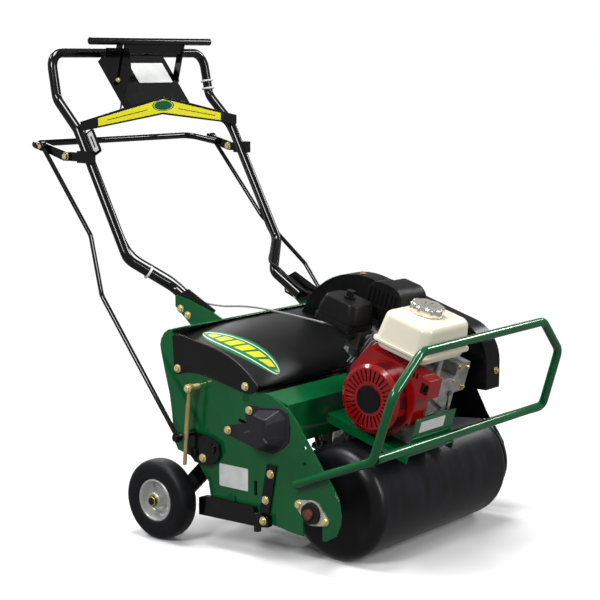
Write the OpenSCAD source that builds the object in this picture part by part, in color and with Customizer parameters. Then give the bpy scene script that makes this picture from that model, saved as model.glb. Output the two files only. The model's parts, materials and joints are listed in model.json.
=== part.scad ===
// Walk-behind core aerator: driven drum, tine reel, lift wheels, engine, handle and controls.
// Millimetres. X runs across to the operator's left, Y to the rear, Z up, the ground is Z = 0.
// Shapes are written about the drum axis at Y = 0 and then moved so that the whole box is centred in Y.

/* [Drum] */
// Drum radius
drum_r = 140; // [110:1:160]
// Drum length
drum_len = 574; // [480:1:590]
// Radius of the drum's rounded ends
drum_corner = 31; // [10:1:45]
// Drum wall
drum_wall = 4; // [2:0.5:8]
// Drum shaft radius
shaft_r = 12.7; // [9:0.1:16]
// Half length of the drum shaft
shaft_half = 388; // [384:1:394]

/* [Side plates] */
// Inner face of each side plate from the middle
plate_in = 358; // [350:1:366]
// Side plate thickness
plate_t = 6; // [4:0.5:8]
// Half width of the slot that the drum bearing drops into
slot_half = 29; // [26:0.5:31]
// Radius of the spare accessory holes
spare_r = 4.5; // [3:0.1:6]
// Height between the spare accessory holes
spare_pitch = 39; // [30:1:48]

/* [Wheels] */
// Tyre radius
wheel_r = 102; // [90:1:108]
// Tyre width
tyre_w = 60; // [50:1:62]
// Middle of the tyre from the machine's middle
wheel_x = 398; // [398:1:404]
// Rim radius under the tyre
rim_r = 54; // [45:1:64]
// Axle radius
axle_r = 9.5; // [7:0.1:12]
// Axle distance behind the drum axis
axle_y = 458; // [452:1:470]

/* [Wheel lift] */
// Rock shaft distance behind the drum axis
rock_y = 308; // [304:1:316]
// Rock shaft height
rock_z = 248; // [244:1:256]
// Rock shaft radius
rock_r = 12.7; // [9:0.1:14]
// Crank arm, reach to the rear
crank_dy = 80; // [76:1:88]
// Crank arm, rise
crank_dz = 24; // [16:1:28]
// Lift bail pivot behind the drum axis
bail_y = 860; // [852:1:866]
// Lift bail pivot height
bail_z = 942; // [936:1:948]
// Radius of the lift pins
pin_r = 5; // [4:0.1:6]
// Lift rod radius
rod_r = 6; // [4:0.5:7]
// Lift bail tube radius
bail_r = 9.5; // [8:0.5:10]
// Reach of the lift bail's bar behind its pivot
bail_reach = 151; // [140:1:160]

/* [Tine reel] */
// Reel shaft distance behind the drum axis
reel_y = 252; // [250:1:256]
// Reel shaft height
reel_z = 130; // [126:1:136]
// Radius over the tine tips
reel_r = 105; // [90:1:106]
// Reel shaft radius
reel_shaft_r = 12.7; // [9:0.1:15]
// Tine disc radius
disc_r = 56; // [45:1:65]
// Tine disc thickness
disc_t = 8; // [5:0.5:12]
// Number of tine discs
disc_count = 9; // [5:1:11]
// Tines on each disc
tine_count = 4; // [3:1:5]
// Half of the reel's working width
reel_half = 280; // [240:1:290]
// Outer radius of a tine
tine_or = 9.5; // [8:0.5:11]
// Inner radius of a tine
tine_ir = 6.5; // [4:0.5:7]

/* [Handle] */
// Handle tube radius
tube_r = 13; // [11:0.5:14]
// Handle leg from the middle
leg_x = 303; // [298:1:306]
// Height of the grip bar
grip_z = 1212; // [1190:1:1220]
// Grip bar behind the drum axis
grip_y = 942; // [936:1:950]
// Bend radius of the handle's upper corners
grip_bend = 42; // [36:1:52]
// Drive bail bar radius
drive_r = 10; // [8:0.5:11]
// Half length of the drive bail bar
drive_half = 234; // [200:1:240]
// Drive bail bar behind the drum axis
drive_y = 857; // [852:1:862]
// Height of the drive bail bar
drive_z = 1243; // [1238:1:1252]
// Console half width
console_half = 118; // [100:1:124]
// Console sheet thickness
console_t = 3; // [2:0.5:4]

/* [Front guard] */
// Guard tube radius
guard_r = 11; // [9:0.5:13]
// Top bar in front of the drum axis
guard_top_y = -241; // [-246:1:-236]
// Height of the guard's top bar
guard_top_z = 540; // [530:1:552]
// Half length of the guard's top bar between its corners
guard_top_half = 270; // [250:1:285]
// Bend radius of the guard
guard_bend = 38; // [30:1:44]

/* [Engine] */
// Middle of the crankcase across the machine
engine_x = -95; // [-100:1:-90]
// Crankshaft in front of the drum axis
crank_y = -74; // [-78:1:-70]
// Crankshaft height
crank_z = 404; // [400:1:408]
// Forward lean of the engine
engine_tilt = 16; // [14:0.5:18]
// Crankshaft height above the engine tray
crank_lift = 100; // [98:1:104]
// Crankshaft radius
crank_r = 10; // [8:0.1:12]
// Radius of the fan cover's round face
fan_r = 84; // [78:1:88]
// Number of air slots in the fan cover
fan_slots = 30; // [12:1:36]
// Fuel tank width across the machine
tank_w = 209; // [195:1:215]
// Fuel tank length
tank_l = 158; // [150:1:162]
// Fuel cap radius
cap_r = 43; // [38:1:46]

/* [Drive] */
// Middle of the belt across the machine
belt_x = 80; // [78:1:82]
// Cross shaft behind the drum axis
jack_y = 206; // [202:1:210]
// Cross shaft height
jack_z = 388; // [384:1:392]
// Cross shaft radius
jack_r = 10; // [8:0.1:12]
// Driven pulley radius
driven_r = 72; // [60:1:76]
// Crank pulley radius
driver_r = 36; // [30:1:45]
// Middle of the chain across the machine
chain_x = 325; // [320:1:328]
// Root radius of the drum sprocket
drum_sprocket_r = 92; // [80:1:98]
// Root radius of the small sprocket
jack_sprocket_r = 26; // [22:1:30]
// Radius of the belt guard over the driven pulley
cover_r = 192; // [186:1:196]
// Radius of the belt guard at its front end
cover_front_r = 101; // [96:1:106]

/* [Fits] */
// Radial clearance of a running fit
run = 0.05; // [0.02:0.01:0.09]
// Gap between loose neighbours
gap = 0.4; // [0.3:0.1:1]
// Frame bolt radius
bolt_r = 4; // [3:0.5:5]
// Part to draw

/* [Hidden] */
$fn = 28;

// Places derived from the sizes above
plate_out = plate_in + plate_t;
bail_bar_y = bail_y + bail_reach;
y_front = guard_top_y - guard_r;
y_rear = bail_bar_y + bail_r;
y_mid = (y_front + y_rear) / 2;
drum_z = drum_r;
axle_z = wheel_r;
crank_pin = [rock_y + crank_dy, rock_z + crank_dz];
bail_pin = [bail_y + crank_dy, bail_z + crank_dz];
bearing_lean = 19;
bearing_half = 42;
hood_skin = 3;
hood_skirt = plate_out + gap;
depth_top = [361, 397];
depth_foot = [380, 202];
depth_off = 32;
depth_x = plate_out + depth_off;
depth_eye = 6;
tray_t = 5;
guard_x = plate_out + guard_r;
guard_cross = [-182, 297];
cross_wall_y = 78;
cross_wall_t = 4;
cross_low = 290;
belt_slot = 26;
cover_half = 30;
cover_skin = 2.5;
cover_low = 394;
cover_front = [-112, 460];
cover_rear = [190, 455];
cover_bore = 46;
apron_low = 297;
strap_t = 6;
flange_t = 3;
rail_t = 16;
rail_end = 349;
jack_end = plate_out;
belt_w = 13;
belt_t = 8;
chain_w = 8;
chain_t = 9;
handle_low_x = 203.7;
wing_t = 5;
bracket_t = 5;
console_y = 818.5;
panel_foot = [819.5, 1064.3];
panel_top = [930, 1204.2];
panel_flange = 26;
console_pivot = [885, 1135];
lift_plate_t = 5;
lift_plate_x = leg_x + tube_r + gap;
bail_plate_x = lift_plate_x + lift_plate_t + 1.5;
rod_top_x = bail_plate_x + lift_plate_t + 1.5;
rod_eye_t = 12;
crank_plate_x = plate_out + 6;
crank_plate_t = 6;
rod_low_x = 412;
arm_x = 330;
arm_t = 12;
arm_low = 30;
arm_high = 14;
hub_half = 30;
tube_sides = 16;
tine_weld = 2;
tine_root = 18;
slot_lean = 14;
fan_back = -62;
fan_front = -112;
fan_face = -150;
fan_wall = 3;
recess_floor = -104;
switch_at = [-117, 69];
cyl_lean = 25;
fin_w = 56;
fin_half = 48;
head_half = 34;
core_half = 38;
carb_pivot = [137, 88];
muffler_corners = [[115, 180], [146, 180], [146, 160], [115, 160]];
muffler_corner_r = 36;
muffler_x = 12;
muffler_w = 110;
shield_t = 3;
shield_w = 52;
shield_gap = 2;
shield_low = 152;
choke_r = 3;

// Side plate outline as Y, Z
plate_outline = [
  [-39, 77], [-67, 94], [-80, 122], [-83, 146], [-75, 185], [-57, 213], [-32, 243], [53, 356], [75, 378],
  [128, 405], [145, 409], [172, 402], [205, 434], [250, 464], [311, 482], [384, 492], [444, 494], [450, 530],
  [462, 528], [476, 518], [486, 503], [490, 487], [487, 470], [476, 426], [459, 362], [452, 314], [446, 249],
  [433, 225], [372, 212], [330, 160], [318, 92], [130, 88], [47, 78]
];
// Frame bolts on both side plates as Y, Z and the height of the face that the head sits on
plate_bolts = [
  [427, 434, hood_skirt + hood_skin], [205, 417, hood_skirt + hood_skin], [124, 214, plate_out + strap_t],
  [140, 147, plate_out + strap_t], [193, 360, plate_out + flange_t], [262, 301, plate_out + flange_t],
  [139, 98, plate_out + rail_t]
];
// Hood profiles as Y, Z: the crown over the middle and the crease at the sides
hood_crown = [
  [412, 536], [361, 531], [330, 526], [270, 508], [215, 478], [176, 440], [164, 421], [164, 416], [412, 416]
];
hood_side = [
  [441, 511], [424, 519], [346, 505], [281, 491], [240, 475], [202, 453], [164, 421], [185, 400], [317, 416],
  [441, 416]
];
hood_crown_half = 300;
// Rear panel, outer line as Y, Z
panel_line = [
  [433, 240], [446, 314], [453, 362], [470, 426], [482, 471], [484, 488], [480, 504], [469, 520], [454, 530],
  [405, 543]
];
panel_t = 3;

// Side view of the handle as X, Y, Z on the left leg
handle_half = [
  [0, grip_y, grip_z], [leg_x - 5, grip_y, grip_z], [leg_x - 3, 918, 1090], [leg_x, 838, 1012],
  [leg_x, 661, 682], [handle_low_x, 592, 604], [handle_low_x, 498, 546]
];
// Lift rod on the left side as X, Y, Z
rod_line = [
  [rod_top_x + rod_eye_t / 2, bail_pin[0], bail_pin[1]], [343, 755, 742], [rod_low_x, 646, 602],
  [rod_low_x, crank_pin[0], crank_pin[1]]
];
// Front guard on the left side as X, Y, Z
guard_line = [
  [0, guard_top_y, guard_top_z], [guard_top_half, guard_top_y, guard_top_z], [guard_x - 8, -231, 452],
  [guard_x, guard_cross[0], guard_cross[1] - 2], [guard_x, 44, 204]
];
// Clutch cable and throttle cable centre lines as X, Y, Z
clutch_route = [
  [100, 866.5, 1113], [104, 873, 1090], [118, 866, 1060], [150, 856, 1042], [220, 846, 1032],
  [266, 840, 1018],
  [284, 826, 990], [285.6, 772, 890],
  [285.6, 716, 786], [283, 684, 724], [275, 656, 690], [238, 629, 660], [202, 604, 632], [201, 568, 614],
  [202, 490, 563], [197, 405, 549], [182, 350, 539], [146, 250, 513], [122, 230, 503],
  [110.2, 230, 503]
];
throttle_route = [
  [-100, 866, 1113.6], [-104, 872, 1090], [-118, 866, 1060], [-150, 856, 1042], [-220, 846, 1032],
  [-266, 840, 1018], [-285, 826, 990],
  [-286.6, 772, 890], [-286.6, 716, 786], [-284, 684, 724], [-276, 656, 690], [-238, 629, 659],
  [-202, 604, 631], [-202, 568, 613], [-206, 500, 580], [-205, 430, 572], [-185, 315, 575],
  [-146, 104, 547], [-141, 66.3, 532.7], [-141, 52.8, 528.8]
];
clutch_r = 3.5;
throttle_r = 2.5;

// Shared shapes
function unit(v) = v / norm(v);
function turn_at(p, i) = acos(min(1, max(-1, unit(p[i] - p[i - 1]) * unit(p[i + 1] - p[i]))));
function trim_at(p, i, bend) = (i == 0 || i == len(p) - 1) ? 0 : bend * tan(turn_at(p, i) / 2);
function engine_y(y, z) = (y - crank_y) * cos(engine_tilt) + (z - crank_z) * sin(engine_tilt);
function engine_z(y, z) = (z - crank_z) * cos(engine_tilt) - (y - crank_y) * sin(engine_tilt);

module place() translate([0, -y_mid, 0]) children();
module left() children();
module right() mirror([1, 0, 0]) children();
module both() {
  left() children();
  right() children();
}
module slab(x0, t) translate([x0, 0, 0]) rotate([90, 0, 90]) linear_extrude(t) children();
module bar_x(x0, x1, y, z, r) translate([x0, y, z]) rotate([0, 90, 0]) cylinder(h = x1 - x0, r = r);
module spin_x(x, y, z) translate([x, y, z]) rotate([0, 90, 0]) rotate_extrude() children();
module rod(a, b, r) {
  v = b - a;
  translate(a)
    rotate([0, acos(v[2] / norm(v)), atan2(v[1], v[0])])
      cylinder(h = norm(v), r = r);
}
// Rings along a bent tube and along a cable, each a place and a direction
function bend_rings(p, i, bend) = let (
  u1 = unit(p[i] - p[i - 1]),
  u2 = unit(p[i + 1] - p[i]),
  m = unit(u2 - (u2 * u1) * u1),
  o = p[i] - u1 * trim_at(p, i, bend) + m * bend,
  a = turn_at(p, i),
  steps = max(2, ceil(a / 15))
) [for (k = [0:steps]) [o - m * bend * cos(a * k / steps) + u1 * bend * sin(a * k / steps),
  u1 * cos(a * k / steps) + m * sin(a * k / steps)]];
function tube_rings(p, bend) = let (e = len(p) - 1) concat(
  [[p[0], unit(p[1] - p[0])]],
  [for (i = [1:e - 1]) for (r = bend_rings(p, i, bend)) r],
  [[p[e], unit(p[e] - p[e - 1])]]
);
function curve_at(a, b, c, d, t) =
  0.5 * (2 * b + (c - a) * t + (2 * a - 5 * b + 4 * c - d) * t * t + (3 * b - a - 3 * c + d) * t * t * t);
function curve(p, steps) = let (e = len(p) - 1) concat(
  [for (i = [0:e - 1]) for (k = [0:steps - 1])
    curve_at(p[max(0, i - 1)], p[i], p[i + 1], p[min(e, i + 2)], k / steps)],
  [p[e]]
);
function cable_rings(p) = let (q = curve(p, 4), e = len(q) - 1)
  [for (i = [0:e]) [q[i], unit(q[min(e, i + 1)] - q[max(0, i - 1)])]];
function carried(rings, i, s) = i < 0 ? [] : let (
  t = rings[len(rings) - 1 - i][1],
  n = unit(s - (s * t) * t)
) concat([n], carried(rings, i - 1, n));
module sweep(rings, r, sides) {
  count = len(rings);
  f = carried(rings, count - 1, abs(rings[0][1][2]) > 0.9 ? [1, 0, 0] : [0, 0, 1]);
  pts = [
    for (i = [0:count - 1])
      for (k = [0:sides - 1])
        rings[i][0] + r * (f[i] * cos(360 * k / sides) + cross(rings[i][1], f[i]) * sin(360 * k / sides))
  ];
  walls = [
    for (i = [0:count - 2])
      for (k = [0:sides - 1])
        let (a = i * sides + k, b = i * sides + (k + 1) % sides)
          each [[a, a + sides, b + sides], [a, b + sides, b]]
  ];
  caps = [[for (k = [0:sides - 1]) k], [for (k = [sides - 1:-1:0]) (count - 1) * sides + k]];
  polyhedron(points = pts, faces = concat(walls, caps));
}
module tube_path(p, r, bend) sweep(tube_rings(p, bend), r, tube_sides);
module mirrored_tube(p, r, bend) {
  n = len(p);
  flipped = [for (i = [n - 1:-1:1]) [-p[i][0], p[i][1], p[i][2]]];
  tube_path(concat(flipped, [for (i = [1:n - 1]) p[i]]), r, bend);
}
module cable(p, r) sweep(cable_rings(p), r, 8);
// Bolt along +X: head and washer on the face, shank and nut behind it
module bolt(x, y, z, grip) {
  translate([x, y, z]) rotate([0, 90, 0]) {
    cylinder(h = 1.6, r = bolt_r + 5);
    translate([0, 0, 1.6]) cylinder(h = 5, r = bolt_r + 3.2, $fn = 6);
    translate([0, 0, -grip - 6]) cylinder(h = grip + 7, r = bolt_r, $fn = 16);
    translate([0, 0, -grip - 5]) cylinder(h = 5, r = bolt_r + 3.2, $fn = 6);
  }
}
module engine() translate([engine_x, crank_y, crank_z]) rotate([engine_tilt, 0, 0]) children();
module block(lo, hi) translate(lo) cube(hi - lo);
module soft_block(lo, hi, r) {
  hull()
    for (x = [lo[0] + r, hi[0] - r])
      for (y = [lo[1] + r, hi[1] - r])
        translate([x, y, lo[2]]) cylinder(h = hi[2] - lo[2], r = r, $fn = 24);
}

// Frame plates and covers
module side_plate() {
  color("#14663a")
  slab(plate_in, plate_t)
    difference() {
      polygon(plate_outline);
      translate([-slot_half, 0]) square([2 * slot_half, drum_z]);
      translate([0, drum_z]) circle(r = slot_half);
      for (s = [-1, 1])
        translate([s * bearing_half * cos(bearing_lean), drum_z + s * bearing_half * sin(bearing_lean)])
          circle(r = bolt_r + gap);
      for (b = plate_bolts) translate([b[0], b[1]]) circle(r = bolt_r + gap);
      translate([jack_y, jack_z]) circle(r = jack_r + run);
      translate([rock_y, rock_z]) circle(r = rock_r + run);
      translate([reel_y, reel_z]) circle(r = reel_shaft_r + run);
      translate(depth_top) circle(r = bolt_r + gap);
      for (k = [0, 1]) translate([24, 254 + k * spare_pitch]) circle(r = spare_r);
      translate([213, 327]) rotate(slot_lean) {
        square([26, 10], center = true);
        for (k = [-13, 13]) translate([k, 0]) circle(r = 5);
      }
      translate([172, 150]) square([9, 38]);
    }
}
module side_plate_right() right() side_plate();
module side_plate_left() left() side_plate();
module rear_panel() {
  inner = [for (p = panel_line) p - [panel_t, p[0] < 460 && p[1] > 500 ? panel_t : 0]];
  n = len(inner);
  color("#14663a")
  slab(-plate_in, 2 * plate_in)
    polygon(concat(panel_line, [for (i = [n - 1:-1:0]) inner[i]]));
}
module hood_solid(inset, drop) {
  side_in = hood_skirt + hood_skin - inset;
  crown_in = hood_crown_half - inset;
  hull() {
    slab(-crown_in, 2 * crown_in) translate([0, -inset]) polygon(hood_crown);
    slab(-side_in, 2 * side_in) translate([0, -inset]) polygon(hood_side);
    slab(-side_in, 2 * side_in) translate([0, -drop]) polygon(hood_side);
  }
}
module tine_hood() {
  color("#1b1b1d")
  difference() {
    hood_solid(0, 0);
    hood_solid(hood_skin, 60);
    block([belt_x - belt_slot, 120, 380], [belt_x + belt_slot, 352, 560]);
    both()
      for (i = [0, 1])
        bar_x(hood_skirt - 2, hood_skirt + 6, plate_bolts[i][0], plate_bolts[i][1], bolt_r + gap);
  }
}
module cross_beam() {
  notch = chain_w / 2 + 12;
  belt_notch = cover_half + gap;
  wall = cross_wall_y + cross_wall_t;
  color("#14663a")
  difference() {
    slab(-plate_in, 2 * plate_in)
      polygon([
        [cross_wall_y, cross_low], [wall, cross_low], [wall, 384], [146, 403], [146, 407], [cross_wall_y, 387]
      ]);
    block([chain_x - notch, 60, cross_low + 22], [chain_x + notch, 170, 410]);
    block([belt_x - belt_notch, 60, cross_low + 32], [belt_x + belt_notch, 170, 410]);
  }
}
module engine_tray() {
  front = engine_y(guard_cross[0], guard_cross[1]) + guard_r;
  rear = (cross_wall_y - crank_y - (crank_lift + tray_t) * sin(engine_tilt)) / cos(engine_tilt);
  low = -crank_lift - tray_t;
  lip = 18;
  half_lo = -115;
  half_hi = 82;
  flange_hi = 50;
  wall = 4;
  color("#14663a")
  engine() {
    block([half_lo, front, low], [half_hi, rear, -crank_lift]);
    block([half_lo, front, low], [flange_hi, front + wall, -8]);
    block([half_lo, front, low - lip], [half_lo + wall, rear - 8, low]);
    block([half_hi - wall, front, low - lip], [half_hi, rear - 8, low]);
  }
}
module front_guard() {
  color("#14663a") mirrored_tube(guard_line, guard_r, guard_bend);
}
module guard_cross_tube() {
  half = guard_x - guard_r - gap;
  color("#14663a") bar_x(-half, half, guard_cross[0], guard_cross[1], guard_r);
}
module cover_outline(inset) {
  hull() {
    for (z = [crank_z, cover_front[1]])
      translate([cover_front[0], z]) circle(r = cover_front_r - inset, $fn = 48);
    translate(cover_rear) circle(r = cover_r - inset, $fn = 48);
  }
}
module belt_guard() {
  lo = belt_x - cover_half;
  hi = belt_x + cover_half;
  apron_back = cross_wall_y - gap;
  seat = [for (i = [6:-1:0]) hood_crown[i]];
  color("#1b1b1d") {
    difference() {
      slab(lo, hi - lo) cover_outline(0);
      slab(lo + cover_skin, hi - lo - 2 * cover_skin) cover_outline(cover_skin);
      block([lo - 1, -300, 200], [hi + 1, 150, cover_low]);
      slab(lo - 1, hi - lo + 2) polygon(concat([[150, 200], [150, 421]], seat, [[420, 536], [420, 200]]));
      bar_x(lo - 1, lo + cover_skin + 1, crank_y, crank_z, cover_bore);
    }
    slab(hi - cover_skin, cover_skin)
      polygon([
        [-142, cover_low], [-188, 310], [-60, apron_low], [apron_back, apron_low], [apron_back, cover_low]
      ]);
  }
}
module drum_bearing() {
  color("#b9bbbd")
  difference() {
    union() {
      slab(plate_out, 4)
        hull() {
          translate([0, drum_z]) circle(r = 31, $fn = 32);
          for (s = [-1, 1])
            translate([s * bearing_half * cos(bearing_lean), drum_z + s * bearing_half * sin(bearing_lean)])
              circle(r = 11, $fn = 32);
        }
      bar_x(plate_out + 3, plate_out + 14, 0, drum_z, 25);
      bar_x(plate_in - 4, plate_out + 1, 0, drum_z, slot_half - gap);
    }
    bar_x(plate_in - 10, plate_out + 20, 0, drum_z, shaft_r + run);
    for (s = [-1, 1])
      bar_x(plate_out - 1, plate_out + 5, s * bearing_half * cos(bearing_lean),
        drum_z + s * bearing_half * sin(bearing_lean), bolt_r + gap);
  }
}
module drum_bearings() both() drum_bearing();
module shaft_covers() {
  flange = [
    [206, 352], [203, 370], [185, 372], [140, 360], [60, 372], [34, 356], [26, 322], [60, 276], [97, 258],
    [150, 268], [252, 288], [274, 294], [274, 310], [258, 314], [186, 318]
  ];
  color("#202124")
  both() {
    difference() {
      slab(plate_out, flange_t) polygon(flange);
      for (i = [4, 5])
        bar_x(plate_out - 1, plate_out + flange_t + 1, plate_bolts[i][0], plate_bolts[i][1], bolt_r + gap);
    }
    slab(plate_out, 28)
      polygon([[168, 298], [140, 346], [80, 362], [44, 356], [34, 322], [60, 286], [97, 266], [150, 276]]);
    slab(plate_out + 28, 12)
      polygon([[156, 300], [134, 338], [82, 351], [54, 346], [47, 322], [66, 295], [98, 277], [143, 286]]);
  }
}
module tine_straps() {
  color("#1b1b1d")
  both()
    difference() {
      slab(plate_out, strap_t) polygon([[107, 236], [137, 236], [160, 113], [130, 113]]);
      for (i = [2, 3])
        bar_x(plate_out - 1, plate_out + strap_t + 1, plate_bolts[i][0], plate_bolts[i][1], bolt_r + gap);
    }
}
module lower_rails() {
  color("#1b1b1d")
  both()
    difference() {
      slab(plate_out, rail_t)
        polygon([
          [124, 84], [124, 110], [166, 112], [172, 126], [rail_end - 19, 126], [rail_end, 120],
          [rail_end, 76], [150, 80]
        ]);
      bar_x(plate_out - 1, plate_out + rail_t + 1, plate_bolts[6][0], plate_bolts[6][1], bolt_r + gap);
      bar_x(plate_out - 1, plate_out + 6, reel_y, reel_z, reel_shaft_r + 1);
    }
}
handle_bolts = [[522, 540], [547, 555]];
bracket_x = handle_low_x + tube_r + wing_t;
module handle_brackets() {
  color("#14663a")
  both()
    difference() {
      slab(bracket_x, bracket_t)
        polygon([
          [405, 543], [454, 530], [469, 520], [480, 504], [500, 506], [566, 560], [566, 590], [520, 582],
          [440, 558]
        ]);
      for (b = handle_bolts) bar_x(bracket_x - 1, bracket_x + bracket_t + 1, b[0], b[1], bolt_r + gap);
    }
}
module wing_plates() {
  color("#161617")
  both()
    difference() {
      slab(bracket_x - wing_t, wing_t)
        polygon([[432, 561], [445, 547], [505, 524], [562, 546], [568, 586], [526, 608]]);
      for (b = handle_bolts) bar_x(bracket_x - wing_t - 1, bracket_x + 1, b[0], b[1], bolt_r + gap);
    }
}
module zinc_bolts() {
  color("#c9c6b4")
  both() {
    for (b = plate_bolts) bolt(b[2], b[0], b[1], b[2] - plate_in);
    for (s = [-1, 1])
      bolt(plate_out + 4, s * bearing_half * cos(bearing_lean),
        drum_z + s * bearing_half * sin(bearing_lean), plate_t + 4);
    for (b = handle_bolts) bolt(bracket_x + bracket_t, b[0], b[1], bracket_t + wing_t);
    bolt(depth_x + depth_eye + gap, depth_top[0], depth_top[1], depth_x + depth_eye + gap - plate_in);
    bar_x(plate_out, depth_x - depth_eye - gap, depth_top[0], depth_top[1], bolt_r + 4);
  }
}

// Handle and controls
module handle_tube() {
  color("#131314") mirrored_tube(handle_half, tube_r, grip_bend);
}
module console() {
  back = console_y + console_t;
  ear = leg_x + 6;
  run_up = unit(panel_top - panel_foot);
  behind = [run_up[1], -run_up[0]];
  gusset = [[826, 1224], [918, 1226], [919, 1190], [850, 1103], [824, 1162]];
  color("#18181a") {
    slab(-console_half, 2 * console_half)
      polygon([panel_foot, panel_top, panel_top + console_t * behind, panel_foot + console_t * behind]);
    both()
      slab(console_half - console_t, console_t)
        polygon([
          panel_foot, panel_top, panel_top + panel_flange * behind, panel_foot + panel_flange * behind
        ]);
    right() slab(console_half - console_t, console_t) polygon(gusset);
    translate([0, back, 0]) rotate([90, 0, 0])
      linear_extrude(console_t)
        polygon([
          [-ear, 1008], [-ear, 1034], [-console_half, 1072], [0, 1092], [console_half, 1072],
          [ear, 1034], [ear, 1008], [0, 1044]
        ]);
    both() bar_x(console_half - 1, console_half + 9, console_pivot[0], console_pivot[1], bolt_r);
    both() bar_x(console_half + 7, console_half + 11, console_pivot[0], console_pivot[1], bolt_r + 4);
  }
}
module chevron_band() {
  color("#e4b81c")
  translate([0, console_y, 0]) rotate([90, 0, 0])
    linear_extrude(1.2)
      polygon([[-253, 1019], [-253, 1039], [0, 1086], [253, 1039], [253, 1019], [0, 1049]]);
}
module drive_bail() {
  arm_lo = console_half + 1.5;
  arm_hi = arm_lo + 4;
  color("#141415") {
    bar_x(-drive_half, drive_half, drive_y, drive_z, drive_r);
    block([-108, drive_y - 2, drive_z - 34], [112, drive_y + 2, drive_z]);
    both()
      difference() {
        slab(arm_lo, 4)
          polygon([
            [drive_y - 11, drive_z], [drive_y + 11, drive_z], [console_pivot[0] + 11, console_pivot[1]],
            [console_pivot[0] + 8, console_pivot[1] - 8], [console_pivot[0], console_pivot[1] - 11],
            [console_pivot[0] - 8, console_pivot[1] - 8], [console_pivot[0] - 11, console_pivot[1]]
          ]);
        bar_x(arm_lo - 1, arm_hi + 1, console_pivot[0], console_pivot[1], bolt_r + run);
      }
  }
}
module lift_brackets() {
  leg_a = handle_half[3];
  leg_b = handle_half[4];
  t = (leg_a[2] - bail_z) / (leg_a[2] - leg_b[2]);
  tube_y = leg_a[1] + (leg_b[1] - leg_a[1]) * t;
  color("#2a2a2c")
  both() {
    difference() {
      block([leg_x - 4, tube_y - 24, bail_z - 16], [lift_plate_x + lift_plate_t, tube_y + 24, bail_z + 16]);
      rod(leg_a, leg_b, tube_r + run);
    }
    block([lift_plate_x, tube_y + 20, bail_z - 12], [lift_plate_x + lift_plate_t, bail_y, bail_z + 12]);
    bar_x(lift_plate_x, lift_plate_x + lift_plate_t, bail_y, bail_z, 12);
    bar_x(lift_plate_x + 1, bail_plate_x + lift_plate_t + 1, bail_y, bail_z, pin_r);
    bar_x(bail_plate_x + lift_plate_t + gap, bail_plate_x + lift_plate_t + 5, bail_y, bail_z, pin_r + 4);
  }
}
module lift_bail() {
  arm_mid = bail_plate_x - bail_r + 2;
  bar_z = bail_z + 28;
  bar = [[0, bail_bar_y, bar_z], [arm_mid, bail_bar_y, bar_z], [arm_mid, bail_y + 44, bail_z + 12]];
  color("#141415") {
    mirrored_tube(bar, bail_r, 34);
    both() {
      difference() {
        slab(bail_plate_x, lift_plate_t)
          polygon([
            [bail_y - 12, bail_z - 4], [bail_y - 4, bail_z - 12], [bail_y + 8, bail_z - 12],
            [bail_pin[0] + 10, bail_pin[1] - 12], [bail_pin[0] + 14, bail_pin[1]],
            [bail_pin[0] + 8, bail_pin[1] + 11], [bail_y - 4, bail_z + 12], [bail_y - 12, bail_z + 6]
          ]);
        bar_x(bail_plate_x - 1, bail_plate_x + lift_plate_t + 1, bail_y, bail_z, pin_r + run);
      }
      bar_x(bail_plate_x + 1, rod_top_x + rod_eye_t + 1, bail_pin[0], bail_pin[1], pin_r);
      bar_x(rod_top_x + rod_eye_t + gap, rod_top_x + rod_eye_t + 5, bail_pin[0], bail_pin[1], pin_r + 4);
    }
  }
}
module lift_rod() {
  color("#141415")
  difference() {
    union() {
      tube_path(rod_line, rod_r, 40);
      bar_x(rod_top_x, rod_top_x + rod_eye_t, bail_pin[0], bail_pin[1], 12);
      bar_x(rod_low_x - rod_r, rod_low_x + rod_r, crank_pin[0], crank_pin[1], 13);
    }
    bar_x(rod_top_x - 10, rod_top_x + rod_eye_t + 10, bail_pin[0], bail_pin[1], pin_r + run);
    bar_x(rod_low_x - 20, rod_low_x + 20, crank_pin[0], crank_pin[1], pin_r + gap);
  }
}
module lift_rod_right() right() lift_rod();
module lift_rod_left() left() lift_rod();
module clutch_cable() color("#0f0f10") cable(clutch_route, clutch_r);
module throttle_cable() color("#a9abae") cable(throttle_route, throttle_r);

// Wheel lift
module rock_shaft() {
  color("#1b1b1d") bar_x(-crank_plate_x - 10, crank_plate_x + 10, rock_y, rock_z, rock_r);
}
module bell_crank() {
  color("#1b1b1d") {
    difference() {
      slab(crank_plate_x, crank_plate_t)
        polygon([
          [rock_y - 26, rock_z - 8], [rock_y - 14, rock_z - 30], [rock_y + 10, rock_z - 44],
          [rock_y + 56, rock_z - 42], [rock_y + 76, rock_z - 22], [crank_pin[0] + 10, crank_pin[1] - 14],
          [crank_pin[0] + 14, crank_pin[1]],
          [crank_pin[0] + 4, crank_pin[1] + 14], [rock_y + 10, rock_z + 30], [rock_y - 22, rock_z + 18]
        ]);
      bar_x(crank_plate_x - 1, crank_plate_x + crank_plate_t + 1, rock_y, rock_z, rock_r);
    }
    bar_x(crank_plate_x + 1, rod_low_x + rod_r + 6, crank_pin[0], crank_pin[1], pin_r);
    bar_x(rod_low_x + rod_r + gap, rod_low_x + rod_r + 5, crank_pin[0], crank_pin[1], pin_r + 4);
  }
}
module bell_crank_right() right() bell_crank();
module bell_crank_left() left() bell_crank();
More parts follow.
